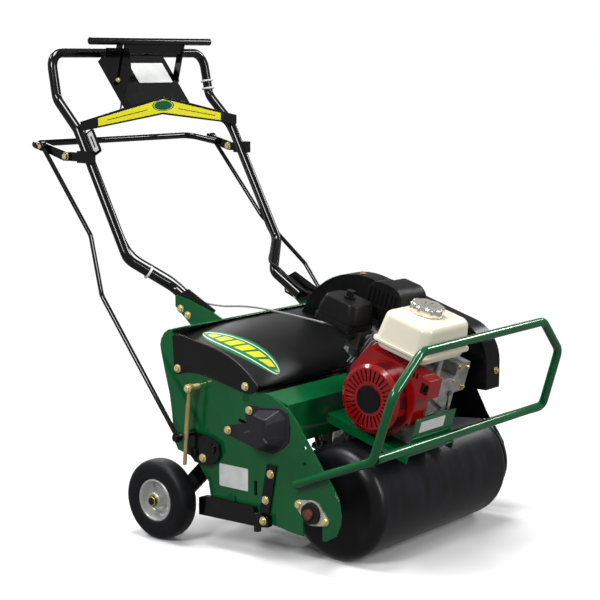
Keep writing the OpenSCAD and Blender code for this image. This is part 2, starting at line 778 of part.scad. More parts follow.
module wheel_arm() {
  reach = norm([axle_y - rock_y, axle_z - rock_z]);
  lean = atan2(axle_z - rock_z, axle_y - rock_y);
  color("#1b1b1d")
  difference() {
    union() {
      bar_x(arm_x, arm_x + arm_t, rock_y, rock_z, 24);
      translate([arm_x + 1, rock_y, rock_z])
        rotate([lean, 0, 0]) block([0, 16, -arm_low], [arm_t - 2, reach, arm_high]);
      bar_x(arm_x, arm_x + arm_t, axle_y, axle_z, 20);
      bar_x(arm_x + arm_t - 1, wheel_x - hub_half - gap, axle_y, axle_z, axle_r + 5);
      bar_x(arm_x + 2, wheel_x + hub_half + 9, axle_y, axle_z, axle_r);
      bar_x(wheel_x + hub_half + gap, wheel_x + hub_half + 6, axle_y, axle_z, axle_r + 4);
    }
    bar_x(arm_x - 1, arm_x + arm_t + 1, rock_y, rock_z, rock_r);
  }
}
module wheel_arm_right() right() wheel_arm();
module wheel_arm_left() left() wheel_arm();
function depth_point(t) = concat([depth_x], depth_top + (depth_foot - depth_top) * t);
module depth_rod() {
  color("#c6c2a4")
  difference() {
    union() {
      rod(depth_point(0), depth_point(1), 5);
      bar_x(depth_x - depth_eye, depth_x + depth_eye, depth_top[0], depth_top[1], 11);
      rod(depth_point(0.2), depth_point(0.65), 6.5);
    }
    bar_x(depth_x - depth_eye - 1, depth_x + depth_eye + 1, depth_top[0], depth_top[1], bolt_r + run);
  }
}
module depth_rod_right() right() depth_rod();
module depth_rod_left() left() depth_rod();
module tyre() {
  h = tyre_w / 2;
  color("#1a1a1b")
  spin_x(wheel_x, axle_y, axle_z)
    polygon([
      [rim_r, -h + 6], [rim_r + 10, -h], [wheel_r - 14, -h], [wheel_r - 5, -h + 5], [wheel_r, -h + 14],
      [wheel_r, h - 14], [wheel_r - 5, h - 5], [wheel_r - 14, h], [rim_r + 10, h], [rim_r, h - 6]
    ]);
}
module tyre_right() right() tyre();
module tyre_left() left() tyre();
module rim() {
  h = tyre_w / 2 - 4;
  color("#c3c6c9")
  spin_x(wheel_x, axle_y, axle_z)
    polygon([
      [axle_r + run, -hub_half], [axle_r + 11, -hub_half], [axle_r + 11, h - 18], [rim_r - 4, h - 12],
      [rim_r - 4, -h], [rim_r, -h], [rim_r, h], [rim_r - 4, h], [rim_r - 6, h - 7], [axle_r + 13, h - 10],
      [axle_r + 11, hub_half], [axle_r + run, hub_half]
    ]);
}
module rim_right() right() rim();
module rim_left() left() rim();

// Drum, drive and tine reel
module drum_shell() {
  h = drum_len / 2;
  c = drum_corner;
  k = drum_wall;
  arc = [0:15:90];
  color("#26262b") {
    spin_x(0, 0, drum_z)
      polygon([[drum_r - k, c - h], [drum_r, c - h], [drum_r, h - c], [drum_r - k, h - c]]);
    for (s = [-1, 1])
      spin_x(0, 0, drum_z)
        polygon(concat(
          [[shaft_r, s * h]],
          [for (a = arc) [drum_r - c + c * sin(a), s * (h - c + c * cos(a))]],
          [for (a = arc) [drum_r - c + (c - k) * cos(a), s * (h - c + (c - k) * sin(a))]],
          [[shaft_r, s * (h - k)]]
        ));
  }
}
module drum_shaft() color("#7a6248") bar_x(-shaft_half, shaft_half, 0, drum_z, shaft_r);
module toothed(r, teeth, tooth) {
  circle(r = r);
  for (i = [0:teeth - 1])
    rotate(360 * i / teeth) translate([r - 2, -2]) square([tooth + 2, 4]);
}
module drum_sprocket() {
  color("#6d7076")
  slab(chain_x - 3, 6)
    translate([0, drum_z])
      difference() {
        toothed(drum_sprocket_r, 48, 6);
        circle(r = shaft_r);
        for (i = [0:5]) rotate(60 * i) translate([55, 0]) circle(r = 17);
      }
}
module jack_shaft() {
  color("#85888d") {
    bar_x(-jack_end, jack_end, jack_y, jack_z, jack_r);
    slab(chain_x - 3, 6) translate([jack_y, jack_z]) toothed(jack_sprocket_r, 14, 6);
  }
}
module pulley_wheel(r, bore) {
  w = belt_w / 2 + 3;
  polygon([
    [bore, -w], [r, -w], [r, -w + 2], [r - belt_t, -belt_w / 2 + 3], [r - belt_t, belt_w / 2 - 3],
    [r, w - 2], [r, w], [bore, w]
  ]);
}
module driven_pulley() {
  color("#55585c") spin_x(belt_x, jack_y, jack_z) pulley_wheel(driven_r, jack_r);
}
module crankshaft() {
  tip = belt_x + belt_w / 2 + 3;
  color("#8a8d92") {
    bar_x(engine_x + 4, tip, crank_y, crank_z, crank_r);
    spin_x(belt_x, crank_y, crank_z) pulley_wheel(driver_r, crank_r - 1);
  }
}
module loop_band(a, ra, b, rb, t) {
  difference() {
    hull() {
      translate(a) circle(r = ra + t, $fn = 48);
      translate(b) circle(r = rb + t, $fn = 48);
    }
    hull() {
      translate(a) circle(r = ra, $fn = 48);
      translate(b) circle(r = rb, $fn = 48);
    }
  }
}
module drive_belt() {
  color("#151515")
  slab(belt_x - 3, 6)
    loop_band([crank_y, crank_z], driver_r - belt_t + 1, [jack_y, jack_z], driven_r - belt_t + 1, belt_t);
}
module drive_chain() {
  color("#4d4a45")
  slab(chain_x - chain_w / 2, chain_w)
    loop_band([0, drum_z], drum_sprocket_r + 7, [jack_y, jack_z], jack_sprocket_r + 7, chain_t);
}
function disc_at(i) = -reel_half + 2 * reel_half * i / (disc_count - 1);
module tine_reel() {
  color("#3a3b3e") {
    bar_x(-plate_out - 4, plate_out + 4, reel_y, reel_z, reel_shaft_r);
    for (i = [0:disc_count - 1]) {
      x = disc_at(i);
      bar_x(x - disc_t / 2, x + disc_t / 2, reel_y, reel_z, disc_r);
    }
  }
}
module tines() {
  color("#8d8f92")
  for (i = [0:disc_count - 1])
    for (k = [0:tine_count - 1]) {
      x = disc_at(i) + disc_t / 2 + tine_or - tine_weld;
      turn = 360 * k / tine_count + 40 * i;
      translate([x, reel_y, reel_z]) rotate([turn, 0, 0]) translate([0, 0, disc_r - tine_root])
        difference() {
          cylinder(h = reel_r - disc_r + tine_root, r = tine_or, $fn = 14);
          translate([0, 0, 20]) cylinder(h = reel_r, r = tine_ir, $fn = 14);
        }
    }
}

// Engine, written about its crankshaft with the tray level
module crankcase() {
  color("#9b9da0")
  engine()
    difference() {
      union() {
        block([fan_back, -92, -crank_lift + 12], [70, 76, 62]);
        block([fan_back + 1, -104, -crank_lift], [74, 92, -crank_lift + 12]);
        translate([70, 0, 0]) rotate([0, 90, 0]) cylinder(h = 16, r = 44);
        for (y = [-70, 30]) translate([4, y, 60]) cylinder(h = 51, r = 9);
        block([62, -90, 16], [116, 56, 92]);
        translate([-20, -90, -62]) rotate([90, 0, 0]) cylinder(h = 16, r = 10);
        translate([40, -90, -62]) rotate([90, 0, 0]) cylinder(h = 22, r = 13);
        translate([30, -88, 10]) rotate([90, 0, 0]) cylinder(h = 8, r = 26);
      }
      translate([2, 0, 0]) rotate([0, 90, 0]) cylinder(h = 100, r = crank_r + run);
    }
}
module cylinder_block() {
  color("#8d8f92")
  engine()
    difference() {
      translate([4, 0, 0]) rotate([cyl_lean, 0, 0]) {
        block([-40, 60, -core_half], [40, 158, core_half]);
        for (y = [88:9:142]) block([-fin_w, y, -fin_half], [fin_w, y + 3, fin_half]);
        block([-50, 148, -head_half], [50, 176, head_half]);
      }
      block([-80, -110, -120], [80, 76, 62]);
    }
}
// Room that the finned cylinder takes, kept clear by its neighbours
module cylinder_room() {
  translate([4, 0, 0]) rotate([cyl_lean, 0, 0])
    block([-fin_w - 1, 50, -fin_half - 1], [fin_w + 1, 146, fin_half + 1]);
  translate([4, 0, 0]) rotate([cyl_lean, 0, 0])
    block([-fin_w - 1, 145, -core_half - 1], [fin_w + 1, 177, core_half + 1]);
}
module fan_cover() {
  color("#b3141c")
  engine()
    difference() {
      union() {
        slab(fan_front, fan_back - fan_front)
          union() {
            circle(r = crank_lift - 3, $fn = 40);
            polygon([[-104, -30], [-104, 98], [62, 104], [96, 40], [96, -10]]);
          }
        slab(fan_front, fan_back - fan_front) polygon([[-130, 46], [-104, 38], [-104, 96], [-128, 92]]);
        translate([fan_face + 7, 0, 0]) rotate([0, 90, 0]) cylinder(h = 33, r = fan_r, $fn = 40);
        translate([fan_face, 0, 0]) rotate([0, 90, 0]) cylinder(h = 8, r1 = fan_r - 10, r2 = fan_r, $fn = 40);
      }
      slab(fan_front + fan_wall, 60) circle(r = crank_lift - 3 - fan_wall, $fn = 40);
      slab(fan_face + 10, 60) circle(r = fan_r - fan_wall, $fn = 40);
      for (i = [0:fan_slots - 1])
        rotate([360 * i / fan_slots, 0, 0]) block([fan_face - 2, -2.2, 42], [fan_face + 6, 2.2, fan_r - 14]);
      for (i = [0:4]) block([fan_front - 2, -92 + 9 * i, 84 - i], [fan_front + 6, -87 + 9 * i, 97]);
      block(
        [fan_front - 1, switch_at[0] - 10, switch_at[1] - 13],
        [recess_floor, switch_at[0] + 10, switch_at[1] + 13]
      );
    }
}
module recoil_disc() {
  color("#1a1a1b") engine() translate([fan_face - 5, 0, 0]) rotate([0, 90, 0]) cylinder(h = 5, r = 33);
}
grip_at = [-94, crank_lift - 3 + gap, 15];
module recoil_grip() {
  color("#232325")
  engine()
    translate(grip_at) soft_block([-6, 0, -22], [6, 16, 22], 5);
}
tank_lo = [-120, -99, 111];
tank_seam = 133;
tank_top = tank_seam + 74;
neck_r = 21;
cap_at = [tank_lo[0] + tank_w / 2, -12];
// Slice of the fuel tank: how far in from its outline, from and to which height, corner radius
module tank_slice(inset, low, high, r) {
  hi = [tank_lo[0] + tank_w, tank_lo[1] + tank_l];
  soft_block([tank_lo[0] + inset, tank_lo[1] + inset, low], [hi[0] - inset, hi[1] - inset, high], r);
}
module fuel_tank() {
  color("#e9e4d2")
  engine()
    difference() {
      union() {
        hull() {
          tank_slice(4, tank_seam, tank_seam + 30, 22);
          tank_slice(8, tank_seam + 54, tank_seam + 58, 24);
          tank_slice(24, tank_seam + 72, tank_top, 26);
        }
        tank_slice(0, tank_seam - 3, tank_seam + 3, 22);
        hull() {
          tank_slice(4, tank_seam - 8, tank_seam - 2, 22);
          tank_slice(22, tank_lo[2], tank_lo[2] + 4, 20);
        }
        translate([cap_at[0], cap_at[1], tank_top - 6]) cylinder(h = 16, r = neck_r);
      }
      translate([cap_at[0], cap_at[1], tank_seam - 10]) cylinder(h = 110, r = neck_r - 3);
    }
}
module fuel_cap() {
  base = tank_top + gap;
  color("#c9cacb")
  engine()
    translate([cap_at[0], cap_at[1], base])
      difference() {
        union() {
          cylinder(h = 24, r = cap_r - 6);
          translate([0, 0, 16]) cylinder(h = 6, r1 = cap_r, r2 = cap_r - 4);
          for (i = [0:7])
            rotate([0, 0, 45 * i]) translate([cap_r - 11, 0, 0]) cylinder(h = 17, r = 9, $fn = 16);
        }
        translate([0, 0, -1]) cylinder(h = 12, r = neck_r + run);
      }
}
module air_cleaner() {
  color("#1c1c1e")
  engine() {
    soft_block([-105, 126, 108], [-4, 246, 122], 16);
    hull() {
      soft_block([-102, 129, 121], [-7, 243, 140], 18);
      soft_block([-97, 136, 160], [-12, 236, 172], 24);
    }
    translate([-54, 186, 171]) cylinder(h = 7, r = 15);
    translate([-54, 186, 174]) cylinder(h = 18, r = 10, $fn = 14);
  }
}
module carburettor() {
  color("#8b8d8f")
  engine()
    difference() {
      union() {
        block([-70, 118, 62], [-22, 156, 108]);
        translate([-46, carb_pivot[0], 42]) cylinder(h = 22, r = 18);
        block([-54, 112, 72], [-40, 120, 96]);
      }
      cylinder_room();
      translate([-90, carb_pivot[0], carb_pivot[1]]) rotate([0, 90, 0]) cylinder(h = 36, r = choke_r + run);
    }
}
module choke_lever() {
  color("#1c1c1e")
  engine()
    translate([-86, carb_pivot[0], carb_pivot[1]]) {
      rotate([0, 90, 0]) cylinder(h = 30, r = choke_r);
      block([0, -4, -4], [4, 41, 4]);
    }
}
module muffler_outline(grow) {
  hull()
    for (corner = muffler_corners) translate(corner) circle(r = muffler_corner_r + grow, $fn = 32);
}
module muffler() {
  color("#232325")
  engine() {
    slab(muffler_x, muffler_w) muffler_outline(0);
    difference() {
      translate([40, 136, 80]) cylinder(h = 50, r = 14);
      cylinder_room();
    }
  }
}
module muffler_shield() {
  color("#161617")
  engine()
    difference() {
      slab(muffler_x - shield_t, shield_w) muffler_outline(shield_gap + shield_t);
      slab(muffler_x, shield_w) muffler_outline(shield_gap);
      block([muffler_x - 9, 50, 100], [muffler_x + shield_w, 220, shield_low]);
      for (i = [0:6]) block([muffler_x - 9, 90 + 13 * i, 162], [muffler_x + 1, 96 + 13 * i, 200]);
    }
}
module engine_switch() {
  color("#1a1a1b")
  engine()
    translate([recess_floor - gap, switch_at[0], switch_at[1]]) rotate([0, -90, 0]) {
      cylinder(h = 8, r = 8);
      block([-8, -2.5, 7], [8, 2.5, 15]);
    }
}

place() side_plate_right();
place() side_plate_left();
place() rear_panel();
place() tine_hood();
place() cross_beam();
place() engine_tray();
place() front_guard();
place() guard_cross_tube();
place() belt_guard();
place() drum_bearings();
place() shaft_covers();
place() tine_straps();
place() lower_rails();
place() handle_brackets();
place() wing_plates();
place() zinc_bolts();
place() handle_tube();
place() console();
place() chevron_band();
place() lift_brackets();
place() clutch_cable();
place() throttle_cable();
place() drive_belt();
place() drive_chain();
place() drive_bail();
place() lift_bail();
place() lift_rod_right();
place() lift_rod_left();
place() rock_shaft();
place() bell_crank_right();
place() bell_crank_left();
place() wheel_arm_right();
place() wheel_arm_left();
place() depth_rod_right();
place() depth_rod_left();
place() tyre_right();
place() tyre_left();
place() rim_right();
place() rim_left();
place() drum_shell();
place() drum_shaft();
place() drum_sprocket();
place() jack_shaft();
place() driven_pulley();
place() crankshaft();
place() tine_reel();
place() tines();
place() crankcase();
place() cylinder_block();  // cylinder
place() fan_cover();
place() recoil_disc();
place() recoil_grip();
place() fuel_tank();
place() fuel_cap();
place() air_cleaner();
place() carburettor();
place() choke_lever();
place() muffler();
place() muffler_shield();
place() engine_switch();
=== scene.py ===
import json
from math import cos, pi, radians

import bmesh
import bpy
from mathutils import Matrix, Vector

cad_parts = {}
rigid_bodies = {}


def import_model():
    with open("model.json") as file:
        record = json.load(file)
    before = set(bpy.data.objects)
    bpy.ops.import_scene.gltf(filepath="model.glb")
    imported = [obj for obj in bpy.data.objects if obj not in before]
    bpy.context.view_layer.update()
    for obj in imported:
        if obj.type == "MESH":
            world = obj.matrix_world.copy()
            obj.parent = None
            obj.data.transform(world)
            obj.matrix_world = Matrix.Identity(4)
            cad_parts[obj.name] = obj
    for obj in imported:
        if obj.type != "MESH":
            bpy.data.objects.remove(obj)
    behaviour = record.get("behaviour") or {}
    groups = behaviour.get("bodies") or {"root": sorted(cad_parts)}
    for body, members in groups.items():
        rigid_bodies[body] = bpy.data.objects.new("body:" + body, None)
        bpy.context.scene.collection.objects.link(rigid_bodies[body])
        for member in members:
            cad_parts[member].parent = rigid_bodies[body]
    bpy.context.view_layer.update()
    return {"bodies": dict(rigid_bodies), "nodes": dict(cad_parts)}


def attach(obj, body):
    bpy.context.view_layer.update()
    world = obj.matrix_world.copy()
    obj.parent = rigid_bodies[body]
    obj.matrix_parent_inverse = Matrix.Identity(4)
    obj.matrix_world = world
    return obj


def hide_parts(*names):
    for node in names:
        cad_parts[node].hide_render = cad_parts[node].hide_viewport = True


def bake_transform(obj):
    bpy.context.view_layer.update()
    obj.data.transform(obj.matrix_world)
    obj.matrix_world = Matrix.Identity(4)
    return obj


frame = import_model()
nodes = frame["nodes"]
body_names = {empty.name: name for name, empty in frame["bodies"].items()}

# Places are in millimetres: across the machine, behind the drum's axis and above the ground
MM = 0.001
DRUM_Y, DRUM_Z = -384.25, 140


def at(x, y, z):
    """A place in millimetres as a point of the frame in metres."""
    return Vector((x, y + DRUM_Y, z)) * MM


def body_of(node):
    """The body that carries a CAD node."""
    return body_names[nodes[node].parent.name]


LOCAL = Matrix.Scale(MM, 4)
MACHINE = Matrix.Translation(at(0, 0, 0)) @ LOCAL
ENGINE_TILT = radians(16)
ENGINE = Matrix.Translation(at(-95, -74, 404)) @ Matrix.Rotation(ENGINE_TILT, 4, "X") @ LOCAL


# Camera and light

SENSOR, LENS = 36, 95.22
CAMERA_PLACE = at(-3196.5, -2247.5, 1200)
CAMERA_DIP, CAMERA_TURN = 8.6969, -51.0969
SKY_STRENGTH = 0.24
MIDDLE = Vector((0, 0, 0.5))
# Name, place and size in metres, and power in watts
SOFTBOXES = [
    ("top_softbox", (-0.4, 0.2, 4.2), (1.7, 1.3), 120),
    ("key_softbox", (-3.4, -0.6, 2.9), (0.8, 1.5), 90),
    ("front_softbox", (0.6, -4.2, 2.2), (0.6, 2.2), 80),
    ("rear_softbox", (2.2, 3.4, 2.8), (2.4, 1.6), 60),
    ("far_strip", (3.1, -1.3, 2.6), (1.3, 0.35), 34),
    ("rear_strip", (-1.3, 2.6, 3.4), (1.3, 0.35), 34),
]


def add_camera():
    """The photograph's view of the machine."""
    data = bpy.data.cameras.new("camera")
    data.sensor_width = SENSOR
    data.lens = LENS
    data.clip_end = 100
    camera = bpy.data.objects.new("camera", data)
    camera.location = CAMERA_PLACE
    camera.rotation_euler = (radians(90 - CAMERA_DIP), 0, radians(CAMERA_TURN))
    bpy.context.scene.collection.objects.link(camera)
    bpy.context.scene.camera = camera


def add_softbox(name, place, size, power):
    """A rectangular light aimed at the middle of the machine."""
    data = bpy.data.lights.new(name, "AREA")
    data.shape = "RECTANGLE"
    data.size, data.size_y = size
    data.energy = power
    light = bpy.data.objects.new(name, data)
    light.location = place
    light.rotation_euler = (MIDDLE - Vector(place)).to_track_quat("-Z", "Y").to_euler()
    bpy.context.scene.collection.objects.link(light)


def add_studio():
    """A dim white sky and the softboxes."""
    world = bpy.data.worlds.new("studio")
    world.use_nodes = True
    sky = world.node_tree.nodes["Background"]
    sky.inputs["Color"].default_value = (1, 1, 1, 1)
    sky.inputs["Strength"].default_value = SKY_STRENGTH
    bpy.context.scene.world = world
    bpy.context.scene.view_settings.view_transform = "Standard"
    for softbox in SOFTBOXES:
        add_softbox(*softbox)


# Finishes

def tone(red, green, blue):
    """A display colour from 0 to 255 as linear light."""
    def linear(c):
        c /= 255
        return c / 12.92 if c <= 0.04045 else ((c + 0.055) / 1.055) ** 2.4
    return (linear(red), linear(green), linear(blue), 1)


class Value:
    """A shader socket that takes part in sums and products."""

    def __init__(self, finish, socket):
        self.finish = finish
        self.socket = socket

    def math(self, operation, *terms):
        return self.finish.node("ShaderNodeMath", {"operation": operation}, dict(enumerate(terms)))

    def __add__(self, other):
        return self.math("ADD", self, other)

    def __sub__(self, other):
        return self.math("SUBTRACT", self, other)

    def __mul__(self, other):
        return self.math("MULTIPLY", self, other)

    def __truediv__(self, other):
        return self.math("DIVIDE", self, other)

    def __pow__(self, other):
        return self.math("POWER", self, other)

    def __rsub__(self, other):
        return self.math("SUBTRACT", other, self)

    def __rtruediv__(self, other):
        return self.math("DIVIDE", other, self)

    def __rpow__(self, other):
        return self.math("POWER", other, self)

    def __abs__(self):
        return self.math("ABSOLUTE", self)

    def __lt__(self, other):
        return self.math("LESS_THAN", self, other)

    def __gt__(self, other):
        return self.math("GREATER_THAN", self, other)

    def top(self, other):
        return self.math("MAXIMUM", self, other)

    def root(self):
        return self.math("SQRT", self)

    def wrap(self, size):
        return self.math("PINGPONG", self, size)

    __radd__ = __add__
    __rmul__ = __mul__


class Finish:
    """One node material, with its pattern laid on Object coordinates."""

    def __init__(self, name, **constants):
        self.material = bpy.data.materials.new(name)
        self.material.use_nodes = True
        self.tree = self.material.node_tree
        self.shader = self.tree.nodes["Principled BSDF"]
        for key, value in constants.items():
            self.shader.inputs[key.replace("_", " ")].default_value = value
        self.place = self.node("ShaderNodeTexCoord", out="Object")

    def node(self, kind, settings=None, sockets=None, out=0):
        """Adds a node: its settings come first, then the values or links of its sockets."""
        node = self.tree.nodes.new(kind)
        for key, value in (settings or {}).items():
            setattr(node, key, value)
        for key, value in (sockets or {}).items():
            self.feed(node.inputs[key], value)
        return Value(self, node.outputs[out])

    def feed(self, socket, value):
        if isinstance(value, Value):
            self.tree.links.new(value.socket, socket)
        else:
            socket.default_value = value

    def noise(self, scale, detail=2.0, stretch=(1, 1, 1), rough=0.5):
        where = self.place
        if stretch != (1, 1, 1):
            where = self.node("ShaderNodeMapping", {}, {"Vector": where, "Scale": stretch})
        return self.node(
            "ShaderNodeTexNoise", {},
            {"Vector": where, "Scale": scale, "Detail": detail, "Roughness": rough}, "Fac",
        )

    def cells(self, scale):
        return self.node("ShaderNodeTexVoronoi", {}, {"Vector": self.place, "Scale": scale}, "Distance")

    def axes(self):
        """The place's X, Y and Z."""
        first = self.node("ShaderNodeSeparateXYZ", {}, {0: self.place})
        return [Value(self, socket) for socket in first.socket.node.outputs]

    def spread(self, value, low, high):
        """Stretches a band of a pattern over 0 to 1."""
        sockets = {"Value": value, "From Min": low, "From Max": high}
        return self.node("ShaderNodeMapRange", {"clamp": True}, sockets)

    def mix(self, factor, a, b):
        return self.node("ShaderNodeMix", {"data_type": "RGBA"}, {0: factor, 6: a, 7: b}, 2)

    def give(self, socket, value):
        self.feed(self.shader.inputs[socket], value)

    def bump(self, height, strength, depth):
        normal = self.node(
            "ShaderNodeBump", {}, {"Height": height, "Strength": strength, "Distance": depth}, "Normal",
        )
        self.give("Normal", normal)


# Height of a smooth skin's unevenness, in metres
SKIN = 0.0002
GREEN_LIGHT, GREEN_DARK = tone(2, 96, 49), tone(1, 82, 41)


def paint(name, light, dark, rough, **constants):
    """Sprayed or powder coat: slow drift of colour, orange peel and a little dust."""
    finish = Finish(name, **constants)
    drift = finish.spread(finish.noise(6, 3), 0.3, 0.7)
    dust = finish.spread(finish.noise(26, 3), 0.55, 0.8)
    colour = finish.mix(drift, light, dark)
    finish.give("Base Color", finish.mix(dust * 0.02, colour, tone(128, 128, 124)))
    finish.give("Roughness", finish.noise(9, 2) * 0.06 + (rough - 0.03) + dust * 0.03)
    finish.bump(finish.noise(90, 1), 0.02, SKIN)
    return finish


def metal(name, light, dark, rough, grain, **constants):
    """Bare or plated metal: mottled plating, rubbed dull in places."""
    finish = Finish(name, **constants)
    mottle = finish.spread(finish.noise(grain, 3), 0.25, 0.75)
    finish.give("Base Color", finish.mix(mottle, light, dark))
    finish.give("Roughness", finish.noise(grain * 1.5, 2) * 0.12 + (rough - 0.06))
    finish.bump(finish.noise(grain * 4, 2), 0.03, SKIN)
    return finish


def casting(name, light, dark, rough, **constants):
    """Sand or die casting: coarse skin with darker pits."""
    finish = Finish(name, **constants)
    skin = finish.noise(420, 5, rough=0.6)
    pits = finish.spread(finish.noise(60, 4), 0.4, 0.7)
    finish.give("Base Color", finish.mix(pits, light, dark))
    finish.give("Roughness", skin * 0.2 + (rough - 0.1))
    finish.bump(skin, 0.22, 0.0006)
    return finish


def moulding(name, light, dark, rough, grain=900, **constants):
    """Moulded plastic: fine stipple over an even colour."""
    finish = Finish(name, **constants)
    cells = finish.cells(grain)
    drift = finish.spread(finish.noise(9, 3), 0.35, 0.65)
    finish.give("Base Color", finish.mix(drift, light, dark))
    finish.give("Roughness", finish.noise(90, 3) * 0.14 + (rough - 0.07))
    finish.bump(cells, 0.12, 0.0003)
    return finish


def rubber(name, light, dark, rough):
    """Tyre and belt rubber: grey bloom and a dry fine grain."""
    finish = Finish(name, Specular_IOR_Level=0.3)
    bloom = finish.spread(finish.noise(22, 5), 0.4, 0.75)
    finish.give("Base Color", finish.mix(bloom, light, dark))
    finish.give("Roughness", finish.noise(160, 3) * 0.16 + (rough - 0.08))
    finish.bump(finish.noise(700, 3), 0.2, 0.0004)
    return finish


def drum_coat():
    """Satin black roller: fine rings round the drum and a grey scuff where it meets the turf."""
    finish = Finish("drum_coat", Specular_IOR_Level=0.32)
    rings = finish.noise(1, 4, stretch=(420, 6, 6))
    scuff = finish.spread(finish.noise(1, 5, stretch=(34, 9, 9)), 0.45, 0.75)
    finish.give("Base Color", finish.mix(scuff, tone(17, 16, 19), tone(31, 30, 37)))
    finish.give("Roughness", rings * 0.14 + scuff * 0.1 + 0.27)
    finish.bump(rings, 0.06, 0.0004)
    return finish


# Lens-shaped decal on a front corner of the hood, in metres: its middle, half sizes, bow and lean
DECAL_X, DECAL_Y = 0.305, -0.10525
DECAL_LONG, DECAL_WIDE, DECAL_BOW = 0.106, 0.043, 0.009
DECAL_COS, DECAL_SIN = 0.98, 0.2


def hood_coat():
    """Black moulded hood with a plain lens-shaped decal on each front corner."""
    taper, line_at, line_half = 0.12, 0.7, 0.045
    bar_lean, bar_count, bar_gap = 0.22, 3.4, 0.13
    finish = Finish("hood_coat", Specular_IOR_Level=0.5)
    x, y, _ = finish.axes()
    east, north = abs(x) - DECAL_X, y - DECAL_Y
    u = (east * -DECAL_SIN + north * -DECAL_COS) / DECAL_LONG
    across = east * DECAL_COS - north * DECAL_SIN
    swell = (1 - u * u).top(0).root() * (u * taper + 1)
    v = (across + u * u * DECAL_BOW) / DECAL_WIDE
    lens = abs(v) < swell
    line = abs(abs(v) - swell * line_at) < line_half
    bars = ((u + v * bar_lean) * bar_count).wrap(0.5) > bar_gap
    stripe = (abs(v + 0.05) < swell * 0.46 - abs(u) * 0.1) * bars
    film = finish.mix(stripe, tone(14, 112, 62), tone(214, 200, 34))
    film = finish.mix(line, film, tone(206, 222, 212))
    drift = finish.spread(finish.noise(7, 3), 0.3, 0.7)
    black = finish.mix(drift, tone(12, 12, 12), tone(7, 7, 8))
    finish.give("Base Color", finish.mix(lens, black, film))
    finish.give("Roughness", finish.noise(8, 2) * 0.06 + 0.34 - lens * 0.06)
    finish.bump(finish.noise(60, 1), 0.02, SKIN)
    return finish


# Marks on the chevron band, in metres
BAND_LINE_Z, BAND_LINE_FALL, BAND_LINE_HALF = 1.0675, 0.152, 0.0011
BAND_LINE_START, BAND_LINE_END = 0.062, 0.215
OVAL_Z, OVAL_LONG, OVAL_HIGH = 1.0685, 0.043, 0.0155
BAND_LEFT_END, BAND_RIGHT_END = 0.238, -0.248


def band_coat():
    """Yellow chevron with black ends, a thin dark line along each arm and a plain green oval on top."""
    finish = Finish("yellow_band", Specular_IOR_Level=0.4)
    x, _, z = finish.axes()
    reach = abs(x)
    middle = BAND_LINE_Z - reach * BAND_LINE_FALL
    line = (abs(z - middle) < BAND_LINE_HALF) * (reach > BAND_LINE_START) * (reach < BAND_LINE_END)
    radius = ((x / OVAL_LONG) ** 2 + ((z - OVAL_Z) / OVAL_HIGH) ** 2).root()
    drift = finish.spread(finish.noise(8, 3), 0.3, 0.7)
    film = finish.mix(drift, tone(246, 241, 46), tone(238, 232, 36))
    film = finish.mix(line, film, tone(40, 52, 30))
    film = finish.mix(radius < 1, film, tone(12, 92, 50))
    film = finish.mix((radius < 0.9) * (radius > 0.82), film, tone(214, 216, 150))
    ends = (x > BAND_LEFT_END).top(x < BAND_RIGHT_END)
    finish.give("Base Color", finish.mix(ends, film, tone(17, 17, 18)))
    finish.give("Roughness", finish.noise(60, 3) * 0.1 + 0.26)
    finish.bump(finish.noise(400, 2), 0.04, 0.0003)
    return finish


SEAL_R = 0.0265


def bearing_coat():
    """Plated flange with a dark seal and lock collar round the shaft."""
    finish = Finish("bearing_coat", Metallic=0.35)
    _, y, z = finish.axes()
    radius = ((y - DRUM_Y * MM) ** 2 + (z - DRUM_Z * MM) ** 2).root()
    skin = finish.noise(380, 4)
    mottle = finish.spread(finish.noise(70, 4), 0.35, 0.65)
    plating = finish.mix(mottle, tone(222, 219, 208), tone(192, 189, 180))
    seal = finish.mix(finish.noise(120, 3), tone(26, 25, 25), tone(48, 44, 42))
    finish.give("Base Color", finish.mix(radius < SEAL_R, plating, seal))
    finish.give("Roughness", skin * 0.2 + 0.36)
    finish.bump(skin, 0.15, 0.0005)
    return finish


# Half width past which a shaft is painted with the side plates, in metres
PAINT_REACH = 0.352


def painted_ends(name, light, dark):
    """Bare casting whose ends past the side plates carry the frame's paint."""
    finish = casting(name, light, dark, 0.45, Metallic=0.4)
    x, _, _ = finish.axes()
    pits = finish.spread(finish.noise(60, 4), 0.4, 0.7)
    coat = finish.mix(pits, GREEN_LIGHT, GREEN_DARK)
    finish.give("Base Color", finish.mix(abs(x) > PAINT_REACH, finish.mix(pits, light, dark), coat))
    return finish


# Where the cable leaves the foot of the handle, in metres along the machine
HANDLE_FOOT_Y = 0.1


def throttle_sleeve():
    """Cable sleeve that is black along the handle and grey where it crosses the hood."""
    grey, black = tone(136, 136, 138), tone(15, 15, 16)
    finish = moulding("throttle_sleeve", grey, grey, 0.36, 1500)
    _, y, _ = finish.axes()
    finish.give("Base Color", finish.mix(y > HANDLE_FOOT_Y, grey, black))
    return finish


def label_film():
    """Blank pale film with a faint cloud in it."""
    finish = Finish("label_film", Specular_IOR_Level=0.4)
    cloud = finish.spread(finish.noise(30, 4), 0.3, 0.7)
    finish.give("Base Color", finish.mix(cloud, tone(226, 228, 226), tone(206, 208, 207)))
    finish.give("Roughness", finish.noise(90, 2) * 0.12 + 0.3)
    finish.bump(finish.noise(300, 2), 0.03, SKIN)
    return finish


